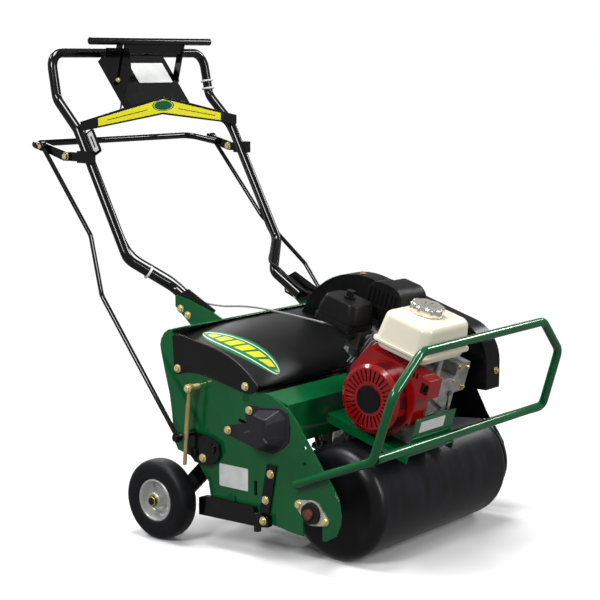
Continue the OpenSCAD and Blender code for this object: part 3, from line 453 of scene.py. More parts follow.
BLACK = dict(Specular_IOR_Level=0.24)
FINISHES = {
    "green_paint": paint("green_coat", GREEN_LIGHT, GREEN_DARK, 0.13, Specular_IOR_Level=0.7),
    "black_paint": paint("black_coat", tone(9, 9, 10), tone(5, 5, 6), 0.11, Specular_IOR_Level=0.55),
    "cover_black": paint("cover_coat", tone(12, 12, 13), tone(7, 7, 8), 0.3, **BLACK),
    "hood": hood_coat(),
    "bearing": bearing_coat(),
    "label": label_film(),
    "throttle_sleeve": throttle_sleeve(),
    "bolt": metal("bolt_zinc", tone(246, 231, 178), tone(227, 206, 141), 0.2, 30, Metallic=0.45),
    # Darker greys for the tine reel, the cross shaft, the tines, the chain and the sprocket are painted
    # shade of the space under the hood and behind the drum
    "reel": painted_ends("reel_grey_shaded", tone(56, 55, 54), tone(36, 35, 34)),
    "cross_shaft": painted_ends("shaft_grey_shaded", tone(84, 82, 80), tone(58, 57, 56)),
    "steel_darkened_as_shade": metal("steel_darkened_as_shade", tone(92, 90, 88), tone(58, 56, 54), 0.45, 60, Metallic=0.8),
    "rusty_end": casting("rusty_end", tone(124, 76, 56), tone(78, 46, 36), 0.55, Metallic=0.3),
    # The shaft covers' moulding is a lighter copy of the black moulding: painted light, standing for their
    # lit outer faces
    "cover_moulding_lit": moulding(
        "cover_moulding_lit", tone(42, 40, 46), tone(32, 30, 35), 0.42, Specular_IOR_Level=0.35,
    ),
    "dark_alloy": casting("dark_alloy", tone(62, 62, 64), tone(38, 38, 40), 0.4, Metallic=0.5),
    "white_tie": moulding("white_tie", tone(232, 232, 230), tone(214, 214, 212), 0.4),
    "drum_paint": drum_coat(),
    "zinc": metal("yellow_zinc", tone(232, 213, 150), tone(204, 182, 114), 0.24, 30, Metallic=0.7),
    "steel": metal("bright_steel", tone(150, 148, 144), tone(112, 110, 108), 0.38, 60, Metallic=0.95),
    "cast": casting("cast_grey", tone(170, 169, 164), tone(122, 121, 117), 0.5, Metallic=0.55),
    "plastic_black": moulding("black_moulding", tone(19, 19, 21), tone(13, 13, 15), 0.4, **BLACK),
    "yellow_band": band_coat(),
    "cable_black": moulding("black_sleeve", tone(20, 20, 21), tone(13, 13, 14), 0.42, 1500, **BLACK),
    "cable_grey": moulding("grey_sleeve", tone(150, 150, 152), tone(122, 122, 124), 0.36, 1500),
    "belt": rubber("belt_rubber", tone(26, 26, 27), tone(44, 44, 44), 0.75),
    "tyre": rubber("tyre_rubber", tone(13, 14, 17), tone(24, 25, 28), 0.5),
    "rim": metal("rim_zinc", tone(226, 226, 224), tone(202, 202, 200), 0.3, 40, Metallic=0.6),
    "engine_alloy": casting("engine_alloy", tone(184, 184, 182), tone(142, 142, 140), 0.42, Metallic=0.55),
    "red_paint": paint("red_coat", tone(156, 4, 13), tone(122, 3, 9), 0.14, Specular_IOR_Level=0.7),
    "tank_cream": paint(
        "cream_coat", tone(236, 230, 212), tone(226, 219, 199), 0.22, Specular_IOR_Level=0.5,
    ),
    "cap_chrome": metal("chrome", tone(238, 234, 222), tone(228, 224, 212), 0.14, 12, Metallic=0.8),
    "muffler_black": moulding("heat_black", tone(18, 18, 18), tone(12, 11, 11), 0.46, 600, **BLACK),
}


# Tools that the pieces share

def to_mesh(name, bm):
    """Ends a bmesh as a mesh of that name."""
    mesh = bpy.data.meshes.new(name)
    bm.to_mesh(mesh)
    bm.free()
    return mesh


def join(bm, part):
    """Adds a finished part to a larger shape."""
    mesh = to_mesh("part", part)
    bm.from_mesh(mesh)
    bpy.data.meshes.remove(mesh)


def span(edge):
    """An edge's run from end to end."""
    return edge.verts[0].co - edge.verts[1].co


def add_piece(name, mesh, body, slot, finish):
    """Puts a mesh on a body, in its slot's own finish or another that is named."""
    piece = bpy.data.objects.new(name, mesh)
    bpy.context.scene.collection.objects.link(piece)
    piece.data.materials.clear()
    piece.data.materials.append(FINISHES[finish or slot].material)
    even = piece.modifiers.new("even_shading", "WEIGHTED_NORMAL")
    even.keep_sharp = True
    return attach(piece, body)


def shade(bm, crease):
    """Smooth faces, with a hard edge wherever two of them meet at more than crease degrees."""
    for face in bm.faces:
        face.smooth = True
    for edge in bm.edges:
        edge.smooth = len(edge.link_faces) == 2 and edge.calc_face_angle(0) < radians(crease)


def round_edges(bm, edges, width, segments):
    """Rounds edges over, by a width in the mesh's own units."""
    bmesh.ops.bevel(
        bm, geom=list(edges), offset=width, offset_type="OFFSET", affect="EDGES", segments=segments,
        profile=0.5, clamp_overlap=False, material=-1,
    )


def commit(name, bm, body, slot, finish=None, matrix=MACHINE, crease=35, instead_of=()):
    """Turns a finished bmesh in millimetres into a piece that rides on a body."""
    bmesh.ops.recalc_face_normals(bm, faces=bm.faces)
    bmesh.ops.transform(bm, matrix=matrix, verts=bm.verts)
    shade(bm, crease)
    piece = add_piece(name, to_mesh(name, bm), body, slot, finish)
    if instead_of:
        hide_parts(*instead_of)
    return piece


def sharp_edges(bm, angle, shortest):
    """Edges between two faces that meet at more than angle degrees, longer than shortest metres."""
    return [
        edge for edge in bm.edges
        if len(edge.link_faces) == 2 and edge.calc_face_angle(0) > radians(angle)
        and edge.calc_length() > shortest
    ]


# How a CAD node's mesh is cleaned: weld in millimetres, flat and crease angles in degrees
WELD, FLAT_ANGLE, DRESS_CREASE = 0.002, 0.6, 32


def dress(node, slot, round_over, finish):
    """Stands for a CAD node: the same form with its sharp edges rounded over."""
    bm = bmesh.new()
    bm.from_mesh(nodes[node].data)
    bmesh.ops.remove_doubles(bm, verts=bm.verts, dist=WELD * MM)
    bmesh.ops.dissolve_limit(bm, angle_limit=radians(FLAT_ANGLE), verts=bm.verts, edges=bm.edges)
    round_edges(bm, sharp_edges(bm, DRESS_CREASE, 1.5 * round_over * MM), round_over * MM, 2)
    shade(bm, DRESS_CREASE)
    name = node + "_dressed"
    piece = add_piece(name, to_mesh(name, bm), body_of(node), slot, finish)
    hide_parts(node)


# Shapes in millimetres of their own frame, which commit's matrix takes to the machine

def aimed(place, direction):
    """A place with its own Z along a direction."""
    return Matrix.Translation(place) @ Vector(direction).to_track_quat("Z", "Y").to_matrix().to_4x4()


def bar(bm, a, b, radius, sides, tip=0.0):
    """A round or many-sided bar between two points, with its ends eased by tip."""
    a, b = Vector(a), Vector(b)
    made = bmesh.ops.create_cone(
        bm, cap_ends=True, segments=sides, radius1=radius, radius2=radius, depth=(b - a).length,
        matrix=aimed((a + b) / 2, b - a),
    )
    if tip:
        rim = {e for v in made["verts"] for e in v.link_edges if e.calc_face_angle(0) > radians(60)}
        round_edges(bm, rim, tip, 2)


def box(bm, lo, hi, corner=0.0, segments=2, axis=2):
    """A block between two corners, with its edges along one axis rounded."""
    lo, hi = Vector(lo), Vector(hi)
    size = Matrix.Diagonal((*(hi - lo), 1))
    made = bmesh.ops.create_cube(bm, size=1, matrix=Matrix.Translation((lo + hi) / 2) @ size)
    if corner:
        edges = {e for v in made["verts"] for e in v.link_edges if abs(span(e)[axis]) > 0.1}
        round_edges(bm, edges, corner, segments)


WASHER_TOP, HEAD_FOOT, HEAD_TOP = 1.6, 1.5, 6.5


def hex_bolt(bm, place, direction, head, washer):
    """A washer with a chamfered hexagon head on it, by their outer radii."""
    d = Vector(direction).normalized()
    p = Vector(place)
    bar(bm, p, p + d * WASHER_TOP, washer, 24, 0.4)
    bar(bm, p + d * HEAD_FOOT, p + d * HEAD_TOP, head, 6, 0.9)


def turned(bm, profile, place, axis, steps=64):
    """A shape turned on a lathe from a closed profile of radius and length along its axis."""
    part = bmesh.new()
    verts = [part.verts.new((r, 0, h)) for r, h in profile]
    edges = [part.edges.new((a, b)) for a, b in zip(verts, verts[1:] + verts[:1])]
    bmesh.ops.spin(
        part, geom=verts + edges, cent=(0, 0, 0), axis=(0, 0, 1), angle=2 * pi, steps=steps, use_merge=True,
    )
    bmesh.ops.transform(part, matrix=aimed(place, axis), verts=part.verts)
    join(bm, part)


def facing(corner, along, up):
    """From width, height and depth on a face to the machine: its corner and the face's two directions."""
    axes = Matrix((along, up, along.cross(up))).transposed().to_4x4()
    return MACHINE @ Matrix.Translation(corner) @ axes


PLATE_SUNK, PLATE_PROUD, PLATE_CORNER = 0.3, 0.5, 3


def blank_plate(name, corner, along, up, size):
    """A thin plate stuck on a face, with its width and height."""
    bm = bmesh.new()
    box(bm, (0, 0, -PLATE_SUNK), (*size, PLATE_PROUD), PLATE_CORNER, 4)
    place = facing(corner, Vector(along).normalized(), Vector(up).normalized())
    commit(name, bm, "frame", "rim", "label", place)


# Pieces

# Hood from rear to front: Y and Z of its crown, its crease and its foot
HOOD_LINES = [
    ((449, 527), (446, 513), (441, 416)), ((430, 532), (428, 518.5), (426, 419)),
    ((412, 535.5), (410, 518), (408, 424)), ((388, 534), (388, 512.5), (386, 428)),
    ((361, 531), (363, 508), (361, 428)), ((330, 526), (335, 503.5), (332, 425)),
    ((300, 518), (304, 497.5), (301, 419)), ((270, 508), (274, 489.5), (270, 413)),
    ((242, 494), (245, 478.5), (244, 407)), ((215, 478), (218, 464), (222, 402)),
    ((193, 459), (195, 448.5), (206, 399)), ((176, 440), (178, 434), (194, 399)),
    ((166, 425), (167, 424.5), (183, 402)), ((164, 417), (164, 420), (174, 411)),
]
HOOD_COLUMNS = (0, 27, 54, 80, 106, 128, 150, 175, 200, 225, 250, 275, 297, 317, 334, 347, 356)
# Rolled bead on the crease: X and rise above it
HOOD_BEAD = ((361, 1.2), (364, 2.8), (366.6, 2.6), (368.3, 0.6), (368.3, -1.8), (367.4, -4.4))
HOOD_FLAT, HOOD_FALL, HOOD_FALL_POWER = 150, 213, 2.4
SKIRT_X, SKIRT_DROP, SKIRT_SHARES = 367.4, 4.4, (0.34, 0.67, 1)
HOOD_WALL = 2.6
# Slot that the belt guard stands in: its two sides and its rear end
GUARD_SLOT_LOW, GUARD_SLOT_HIGH, GUARD_SLOT_END = 54, 106, 352


def add_hood():
    """Soft-crowned hood: a shell lofted from crown to crease, a rolled bead there and a skirt below it."""
    bm = bmesh.new()

    def row(crown, crease, foot):
        crown, crease, foot = Vector(crown), Vector(crease), Vector(foot)
        half = []
        for x in HOOD_COLUMNS:
            fall = max(0, (x - HOOD_FLAT) / HOOD_FALL) ** HOOD_FALL_POWER
            half.append((x, *crown.lerp(crease, fall)))
        half += [(x, crease.x, crease.y + rise) for x, rise in HOOD_BEAD]
        start = crease - Vector((0, SKIRT_DROP))
        half += [(SKIRT_X, *start.lerp(foot, share)) for share in SKIRT_SHARES]
        return [(-x, y, z) for x, y, z in reversed(half[1:])] + half

    def in_guard_slot(face):
        middle = face.calc_center_median()
        return GUARD_SLOT_LOW < middle.x < GUARD_SLOT_HIGH and middle.y < GUARD_SLOT_END

    rows = [[bm.verts.new(point) for point in row(*lines)] for lines in HOOD_LINES]
    strips = [[bm.edges.new(pair) for pair in zip(points, points[1:])] for points in rows]
    for a, b in zip(strips, strips[1:]):
        bmesh.ops.bridge_loops(bm, edges=a + b)
    bmesh.ops.delete(bm, geom=[face for face in bm.faces if in_guard_slot(face)], context="FACES")
    bmesh.ops.recalc_face_normals(bm, faces=bm.faces)
    bmesh.ops.solidify(bm, geom=bm.faces[:], thickness=HOOD_WALL)
    piece = commit(
        "tine_hood_shell", bm, "frame", "cover_black", "hood", crease=50, instead_of=["tine_hood"],
    )
    smooth = piece.modifiers.new("soft_form", "SUBSURF")
    smooth.levels = smooth.render_levels = 2
    # The soft form comes before the shading
    piece.modifiers.move(1, 0)


HUB_X, HUB_Y, HUB_Z = 398, 458, 102
HUB_FACE_X = 428.3
# Half of the tyre's section, from its bead to its tread: radius and half width
TYRE_HALF = [
    (54, 25), (57, 27.5), (62, 29), (66, 29.4), (68, 28.6), (71, 28.6), (74, 29.6), (82, 29.6), (88, 28.4),
    (92, 26.8), (95, 24.6), (97.6, 21.6), (99.6, 18), (100.8, 14), (101.4, 9), (101.7, 4),
]
RIM_SECTION = [
    (9.7, -30), (20, -30), (20.5, -5), (25, -3), (38, -3), (43, -8), (46, -20), (49, -25), (53.8, -26),
    (53.8, 26), (51.5, 27.5), (49.2, 27), (48, 25), (46, 18), (44.5, 8), (41, 2), (36, 0), (26, 0), (22, 2),
    (20.5, 6), (20, 29), (19, 30), (9.7, 30),
]
RIM_BOLTS, RIM_BOLT_R, RIM_BOLT_FOOT = 4, 33, 0.5
RIM_BOLT_HEAD, RIM_BOLT_WASHER = 4.2, 5.5
AXLE_WASHER_R, AXLE_WASHER_TOP = 17, 1.8
AXLE_NUT_R, AXLE_NUT_FOOT, AXLE_NUT_TOP = 13.5, 1.7, 7.6


def add_wheel(side, tag):
    """Solid rubber tyre on a dished zinc rim, with the axle nut that holds it."""
    hub = Vector((side * HUB_X, HUB_Y, HUB_Z))
    out = Vector((side, 0, 0))
    bm = bmesh.new()
    tyre = [(r, -w) for r, w in TYRE_HALF] + [(r, w) for r, w in reversed(TYRE_HALF)]
    turned(bm, tyre, hub, (1, 0, 0), 96)
    commit("tyre_" + tag, bm, "wheel_" + tag, "tyre", crease=50, instead_of=["tyre_" + tag])
    bm = bmesh.new()
    turned(bm, RIM_SECTION, hub, out, 72)
    for k in range(RIM_BOLTS):
        spot = Matrix.Rotation(pi / 4 + k * 2 * pi / RIM_BOLTS, 3, "X") @ Vector((0, 0, RIM_BOLT_R))
        hex_bolt(bm, hub + spot + out * RIM_BOLT_FOOT, out, RIM_BOLT_HEAD, RIM_BOLT_WASHER)
    commit("rim_" + tag, bm, "wheel_" + tag, "rim", crease=40, instead_of=["rim_" + tag])
    bm = bmesh.new()
    face = Vector((side * HUB_FACE_X, HUB_Y, HUB_Z))
    bar(bm, face, face + out * AXLE_WASHER_TOP, AXLE_WASHER_R, 32, 0.5)
    bar(bm, face + out * AXLE_NUT_FOOT, face + out * AXLE_NUT_TOP, AXLE_NUT_R, 6, 1.2)
    commit("axle_nut_" + tag, bm, "wheel_lift", "zinc")


# Each half of the tank: two corners, how far it is drawn in, and the rounding of its uprights and its rim
TANK_UPPER = ((-116, -95, 132), (85, 55, 207), 0.10, 24, 17)
TANK_LOWER = ((-114, -93, 111), (83, 53, 135), -0.06, 24, 9)
TANK_SEAM, TANK_SEAM_CORNER = ((-120, -99, 130.5), (89, 59, 135.5)), 22
# Filler neck and cap: rise and shrink of the cap's steps, width and depth of the rings of its dish
NECK_X, NECK_Y = -15.5, -12
NECK_SECTION = [(21.3, 203), (34, 203), (33, 207.6), (29, 208.2), (21.3, 208.2)]
CAP_FOOT, CAP_LOBES, CAP_LOBE_R, CAP_LOBE_SWELL = 208.4, 8, 40.8, 2.1
CAP_STEPS = ((17, 0), (1.2, 0.6), (2.4, 2.6), (0.6, 1.4))
CAP_DISH = ((3, 0), (2.5, -0.9), (9, -0.2))


def add_tank():
    """Pressed two-part tank: a tall upper half, a shallow lower half and the rolled seam between."""
    bm = bmesh.new()

    def half(lo, hi, squeeze, corner, rim):
        """A box drawn in at its top, or at its foot if squeeze is negative, with that rim rounded."""
        part = bmesh.new()
        box(part, lo, hi)
        level = hi[2] if squeeze > 0 else lo[2]

        def on_level(vert):
            return abs(vert.co.z - level) < 1e-6

        for vert in part.verts:
            if on_level(vert):
                vert.co.x -= (vert.co.x - (lo[0] + hi[0]) / 2) * abs(squeeze)
                vert.co.y -= (vert.co.y - (lo[1] + hi[1]) / 2) * abs(squeeze)
        round_edges(part, [e for e in part.edges if abs(span(e).normalized().z) > 0.8], corner, 8)
        round_edges(part, [e for e in part.edges if all(map(on_level, e.verts))], rim, 8)
        join(bm, part)

    half(*TANK_UPPER)
    half(*TANK_LOWER)
    box(bm, *TANK_SEAM, TANK_SEAM_CORNER, 8)
    turned(bm, NECK_SECTION, (NECK_X, NECK_Y, 0), (0, 0, 1), 40)
    commit(
        "fuel_tank_shell", bm, "frame", "tank_cream", matrix=ENGINE, crease=40, instead_of=["fuel_tank"],
    )


def add_fuel_cap():
    """Chrome cap: soft lobes for the fingers under a chamfered rim, with a shallow dish in its top."""
    bm = bmesh.new()
    made = bmesh.ops.create_circle(bm, cap_ends=True, segments=96, radius=CAP_LOBE_R)
    for vert in made["verts"]:
        turn = Vector((1, 0)).angle_signed(vert.co.xy)
        vert.co.xy = vert.co.xy.normalized() * (CAP_LOBE_R + CAP_LOBE_SWELL * cos(CAP_LOBES * turn))
    top = bm.faces[:]
    for step, (rise, shrink) in enumerate(CAP_STEPS):
        grown = bmesh.ops.extrude_face_region(bm, geom=top, use_keep_orig=True)["geom"]
        if step:
            bmesh.ops.delete(bm, geom=top, context="FACES_ONLY")
        for vert in grown:
            if isinstance(vert, bmesh.types.BMVert):
                vert.co.z += rise
                vert.co.xy -= vert.co.xy.normalized() * shrink
        top = [g for g in grown if isinstance(g, bmesh.types.BMFace)]
    for thickness, depth in CAP_DISH:
        bmesh.ops.inset_region(bm, faces=top, thickness=thickness, depth=depth, use_even_offset=True)
    place = ENGINE @ Matrix.Translation((NECK_X, NECK_Y, CAP_FOOT))
    commit(
        "fuel_cap_chromed", bm, "fuel_cap", "cap_chrome", matrix=place, crease=40, instead_of=["fuel_cap"],
    )


# On the engine's open side: X and Z of the bolts, whose face steps back past STEP_X
CASE_BOLTS = ((-52, 50), (-52, -40), (20, -62), (52, 52), (52, -10), (104, 80), (104, 28), (70, 84))
CASE_FACE_Y, STEP_FACE_Y, STEP_X = -92.2, -90.2, 60
# Each control rod or boss: its two ends, radius, sides and the easing of its ends
CONTROL_RODS = (
    ((-50, -99, 30), (20, -99, -12), 2.2, 12, 0), ((-46, -97, -22), (46, -97, -16), 2.6, 12, 0.6),
    ((44, -91, -16), (44, -104, -16), 6, 16, 0.8), ((40, -91, 24), (40, -101, 24), 7, 16, 0.8),
    ((40, -96, 24), (46, -98, -16), 2.4, 12, 0),
)
SIDE_COVER, SIDE_COVER_CORNER = ((-40, -94, -70), (56, -91, 56)), 10
# Place and direction of the belt guard's bolts
GUARD_BOLTS = (((92, -213.2, 438), (0, -1, 0)), ((66, 176, 647.5), (0, 0, 1)))


def add_engine_fittings():
    """Bolts, control rods and a cover on the engine's open side, and the belt guard's bolts."""
    bm = bmesh.new()
    for x, z in CASE_BOLTS:
        hex_bolt(bm, (x, CASE_FACE_Y if x < STEP_X else STEP_FACE_Y, z), (0, -1, 0), 4.5, 6.2)
    commit("engine_bolts", bm, "frame", "zinc", matrix=ENGINE)
    bm = bmesh.new()
    for rod in CONTROL_RODS:
        bar(bm, *rod)
    commit("control_rods", bm, "frame", "steel", matrix=ENGINE)
    bm = bmesh.new()
    box(bm, *SIDE_COVER, SIDE_COVER_CORNER, 5, axis=1)
    commit("side_cover", bm, "frame", "engine_alloy", matrix=ENGINE)
    bm = bmesh.new()
    for place, direction in GUARD_BOLTS:
        hex_bolt(bm, place, direction, 6, 9)
    commit("guard_bolts", bm, "frame", "zinc")


# Air slots round the fan cover: start and sweep of each arc in degrees, X of each row, and their section
SLOT_ARCS = ((-8, 22), (32, 26), (66, 20), (98, 24), (130, 26))
SLOT_ROWS = (-139, -132, -125, -118)
SLOT_SECTION = ((-2.2, 83), (2.2, 83), (2.2, 84.5), (-2.2, 84.5))
STARTER_WHEEL_X = -138.5
STARTER_WHEEL = [(8, 0), (74, 0), (77, 3), (77, 14), (70, 14), (68, 7), (24, 7), (20, 14), (8, 14)]


def add_fan_slots():
    """Dark air slots round the side of the fan cover, and the starter's wheel behind its grille."""
    bm = bmesh.new()
    for turn, sweep in SLOT_ARCS:
        start = Matrix.Rotation(radians(turn), 3, "X")
        for x in SLOT_ROWS:
            corners = [bm.verts.new((x + dx, 0, r)) for dx, r in SLOT_SECTION]
            face = bm.faces.new(corners)
            bmesh.ops.rotate(bm, verts=corners, cent=(0, 0, 0), matrix=start)
            bmesh.ops.spin(
                bm, geom=[face] + list(face.edges) + corners, cent=(0, 0, 0), axis=(1, 0, 0),
                angle=radians(sweep), steps=6,
            )
    commit("fan_air_slots", bm, "frame", "plastic_black", matrix=ENGINE)
    bm = bmesh.new()
    turned(bm, STARTER_WHEEL, (STARTER_WHEEL_X, 0, 0), (1, 0, 0))
    commit("starter_wheel", bm, "frame", "plastic_black", matrix=ENGINE)


# On the left bell crank: its bolt, and the ends and the middle of its nut
CRANK_BOLT_X, CRANK_BOLT_Y, CRANK_BOLT_Z = 376, 337, 221
CRANK_NUT_FOOT, CRANK_NUT_TOP, CRANK_NUT_R = 375.8, 383, 13
CRANK_NUT_Y, CRANK_NUT_Z = 367, 232


def add_lift_bolts():
    """Bolts and nuts of the bell cranks, which swing with the wheel lift."""
    for side, tag in ((-1, "right"), (1, "left")):
        bm = bmesh.new()
        hex_bolt(bm, (side * CRANK_BOLT_X, CRANK_BOLT_Y, CRANK_BOLT_Z), (side, 0, 0), 7.5, 11)
        commit("crank_bolt_" + tag, bm, "wheel_lift", "zinc", "bolt")
        bm = bmesh.new()
        foot, top = [(side * x, CRANK_NUT_Y, CRANK_NUT_Z) for x in (CRANK_NUT_FOOT, CRANK_NUT_TOP)]
        bar(bm, foot, top, CRANK_NUT_R, 6, 1.2)
        commit("crank_nut_" + tag, bm, "wheel_lift", "black_paint")


# Lever guide: its corner and its face's two directions, its bracket, and four strips round its slot
GUIDE_CORNER = (-299, 779, 953)
GUIDE_ALONG, GUIDE_UP = Vector((0, -0.879, 0.476)), Vector((0, 0.476, 0.879))
GUIDE_BRACKET, GUIDE_BRACKET_CORNER = ((-34, -6, -4), (23, 60, 0)), 5
GUIDE_STRIPS = (
    ((0, 0), (17, 11)), ((0, 44), (17, 55)), ((0, 11), (5.6, 44)), ((11.4, 11), (17, 44)),
)
GUIDE_SUNK, GUIDE_PROUD = 0.2, 1.6


def add_lever_guide():
    """Slotted pale guide on its black bracket, in front of the handle's right leg."""
    place = facing(GUIDE_CORNER, GUIDE_ALONG, GUIDE_UP)
    bm = bmesh.new()
    box(bm, *GUIDE_BRACKET, GUIDE_BRACKET_CORNER, 3)
    commit("guide_bracket", bm, "frame", "black_paint", matrix=place)
    bm = bmesh.new()
    for low, high in GUIDE_STRIPS:
        box(bm, (*low, -GUIDE_SUNK), (*high, GUIDE_PROUD))
    commit("lever_guide", bm, "frame", "rim", "label", place)


# X, Y and Z of the bolts on the left side, where each washer rests
PLATE_BOLTS = [
    (367.4, 427, 434), (367.4, 205, 417), (370, 124, 214), (370, 140, 147), (367, 193, 360),
    (367, 262, 301), (380, 139, 98), (368, 39.7, 153.7), (368, -39.7, 126.3), (402.4, 361, 397),
]
HANDLE_BOLTS = [(226.4, 522, 540), (226.4, 547, 555)]
# X of the faces behind: side plates, or handle brackets for bolts inside BRACKET_REACH
SIDE_PLATE_BACK, BRACKET_BACK, BRACKET_REACH = 358, 216.4, 300
# Depth rod's spacer, the lift bail's pivot and its rod's pin: X of their faces, and Y with Z
SPACER_FOOT, SPACER_TOP, SPACER_R, DEPTH_ROD_TOP = 364, 389.6, 8, (361, 397)
PIVOT_OUTER, PIVOT_INNER, PIVOT = 327.8, 316.1, (860, 942)
PIN_FACE, PIN = 341.3, (940, 966)
CONSOLE_BOLT = (-118, 871, 1139)


def add_bolts():
    """Plated bolts of the frame with the nuts behind them, and those of the lift bail and the console."""
    bm = bmesh.new()
    for side in (-1, 1):
        out = (side, 0, 0)
        for x, y, z in PLATE_BOLTS + HANDLE_BOLTS:
            back = SIDE_PLATE_BACK if x > BRACKET_REACH else BRACKET_BACK
            hex_bolt(bm, (side * x, y, z), out, 8, 10.6)
            bar(bm, (side * (back - 5), y, z), (side * back, y, z), 7.2, 6, 0.8)
            bar(bm, (side * (back - 7), y, z), (side * (back - 4.5), y, z), 4, 16, 0.5)
        bar(bm, (side * SPACER_FOOT, *DEPTH_ROD_TOP), (side * SPACER_TOP, *DEPTH_ROD_TOP), SPACER_R, 24)
    commit("plate_bolts", bm, "frame", "zinc", "bolt", instead_of=["zinc_bolts"])
    bm = bmesh.new()
    for side in (-1, 1):
        hex_bolt(bm, (side * PIVOT_OUTER, *PIVOT), (side, 0, 0), 8.5, 11.5)
        hex_bolt(bm, (side * PIVOT_INNER, *PIVOT), (-side, 0, 0), 8.5, 11.5)
    hex_bolt(bm, CONSOLE_BOLT, (-1, 0, 0), 5, 7)
    commit("handle_pivot_bolts", bm, "frame", "zinc", "bolt")
    bm = bmesh.new()
    for side in (-1, 1):
        hex_bolt(bm, (side * PIN_FACE, *PIN), (side, 0, 0), 6.5, 8.8)
    commit("bail_bolts", bm, "lift_bail", "zinc", "bolt")


# Shaft cover's outlines as Y and Z: its flange, and the foot and the face of its raised body
COVER_FLANGE = [
    (206, 352), (204, 369), (187, 375), (150, 372), (96, 379), (76, 369), (68, 338), (71, 300), (90, 281),
    (122, 263), (160, 266), (252, 288), (271, 293), (275, 302), (270, 311), (258, 314), (202, 328),
]
COVER_FOOT = [
    (168, 365), (98, 373), (76, 354), (75, 308), (94, 283), (130, 269), (178, 279), (193, 312), (177, 331),
]
COVER_FACE = [
    (150, 362), (112, 353), (117, 334), (121, 310), (105, 298), (138, 278), (171, 288), (184, 314),
    (161, 321),
]
# Each layer of a shaft cover: two outlines, the X of each, and the rounding of its outer edges
COVER_LAYERS = (
    (COVER_FLANGE, 364, COVER_FLANGE, 367, 0.7), (COVER_FOOT, 366.8, COVER_FACE, 404, 4),
)


def add_shaft_covers():
    """Moulded covers on the side plates: a flange with two arms and a boxy body leaning to the rear."""
    bm = bmesh.new()
    for side in (-1, 1):
        for foot, foot_x, face, face_x, rounding in COVER_LAYERS:
            part = bmesh.new()
            base = part.faces.new([part.verts.new((side * foot_x, y, z)) for y, z in foot])
            made = bmesh.ops.extrude_face_region(part, geom=[base], use_keep_orig=True)
            top = [g for g in made["geom"] if isinstance(g, bmesh.types.BMVert)]
            for vert, (y, z) in zip(top, face):
                vert.co = (side * face_x, y, z)
            bmesh.ops.recalc_face_normals(part, faces=part.faces)
            outer = [e for e in part.edges if max(abs(v.co.x) for v in e.verts) > face_x - 0.1]
            round_edges(part, outer, rounding, 3)
            join(bm, part)
    commit(
        "shaft_covers_moulded", bm, "frame", "plastic_black", "cover_moulding_lit", instead_of=["shaft_covers"],
    )


# Starter grip's seat and the way it is pulled, in metres of the frame, and the rope behind it
GRIP = Vector((-0.189, -0.361, 0.4475))
PULL = Vector((-0.6, 0.769, 0.2205)).normalized()
ROPE_START, ROPE_END, ROPE_R, ROPE_CUTS = 0.0135, 0.004, 0.0019, 47


def add_starter_rope():
    """The starter's rope: a short stub behind the grip, along the way the grip is pulled."""
    start, end = GRIP - PULL * ROPE_START, GRIP - PULL * ROPE_END
    bm = bmesh.new()
    bar(bm, start, end, ROPE_R, 12)
    runs = [e for e in bm.edges if abs(span(e).normalized().dot(PULL)) > 0.9]
    bmesh.ops.subdivide_edges(bm, edges=runs, cuts=ROPE_CUTS, use_grid_fill=True)
    bmesh.ops.recalc_face_normals(bm, faces=bm.faces)
    shade(bm, 50)
    mesh = to_mesh("starter_rope", bm)
    rope = bpy.data.objects.new("starter_rope", mesh)
    bpy.context.scene.collection.objects.link(rope)
    mesh.materials.append(FINISHES["white_tie"].material)
    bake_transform(rope)


# Middle of the console's sloped panel at its foot and its top, and the corners of the engine tray's plate
PANEL_FOOT, PANEL_TOP = Vector((0, 819.5, 1064.3)), Vector((0, 930, 1204.2))
TRAY_PLATE, TRAY_PLATE_CORNER = ((-95, -122.8, -45), (7, -122.2, -17)), 2


def panel_place(x, share):
    """Corner of a plate on the console's sloped panel, and the panel's two directions."""
    spot = PANEL_FOOT.lerp(PANEL_TOP, share)
    return (x, spot.y, spot.z), (1, 0, 0), PANEL_TOP - PANEL_FOOT


def add_blank_plates():
    """Blank plates on the side plate, the console and the engine tray."""
    blank_plate("side_plate_label", (-364, 293, 157), (0, -1, 0), (0, 0, 1), (93, 56))
    blank_plate("console_label", *panel_place(-37, 0.47), (134, 68))
    bm = bmesh.new()
    box(bm, *TRAY_PLATE, TRAY_PLATE_CORNER, 3, axis=1)
    commit("tray_label", bm, "frame", "rim", "label", ENGINE)


# Ends of two stretches of the handle tube, and the share of the way along them to each tie
RIGHT_BEND, LEFT_RISE = ((-303, 661, 682), (-203.7, 592, 604)), ((300, 918, 1090), (298, 942, 1212))
TIES = ((RIGHT_BEND, 0.45), (LEFT_RISE, 0.16), (LEFT_RISE, 0.34))
TIE_SECTION = [(14, -2.6), (17.6, -2.6), (18.4, 0), (17.6, 2.6), (14, 2.6)]


def add_ties():
    """White ties round the handle tube."""
    bm = bmesh.new()
    for ends, share in TIES:
        a, b = map(Vector, ends)
        turned(bm, TIE_SECTION, a.lerp(b, share), b - a, 36)
    commit("white_ties", bm, "frame", "cable_grey", "white_tie")


def smooth_route(route, steps=6):
    """Points along a soft curve through a route's corners."""
    ends = [route[0]] + route + [route[-1]]
    points = []
    for a, b, c, d in zip(ends, ends[1:], ends[2:], ends[3:]):
        for k in range(steps):
            t = k / steps
            curve = 2 * b + (c - a) * t + (2 * a - 5 * b + 4 * c - d) * t ** 2
            points.append(0.5 * (curve + (3 * b - a - 3 * c + d) * t ** 3))
    return points + [route[-1]]


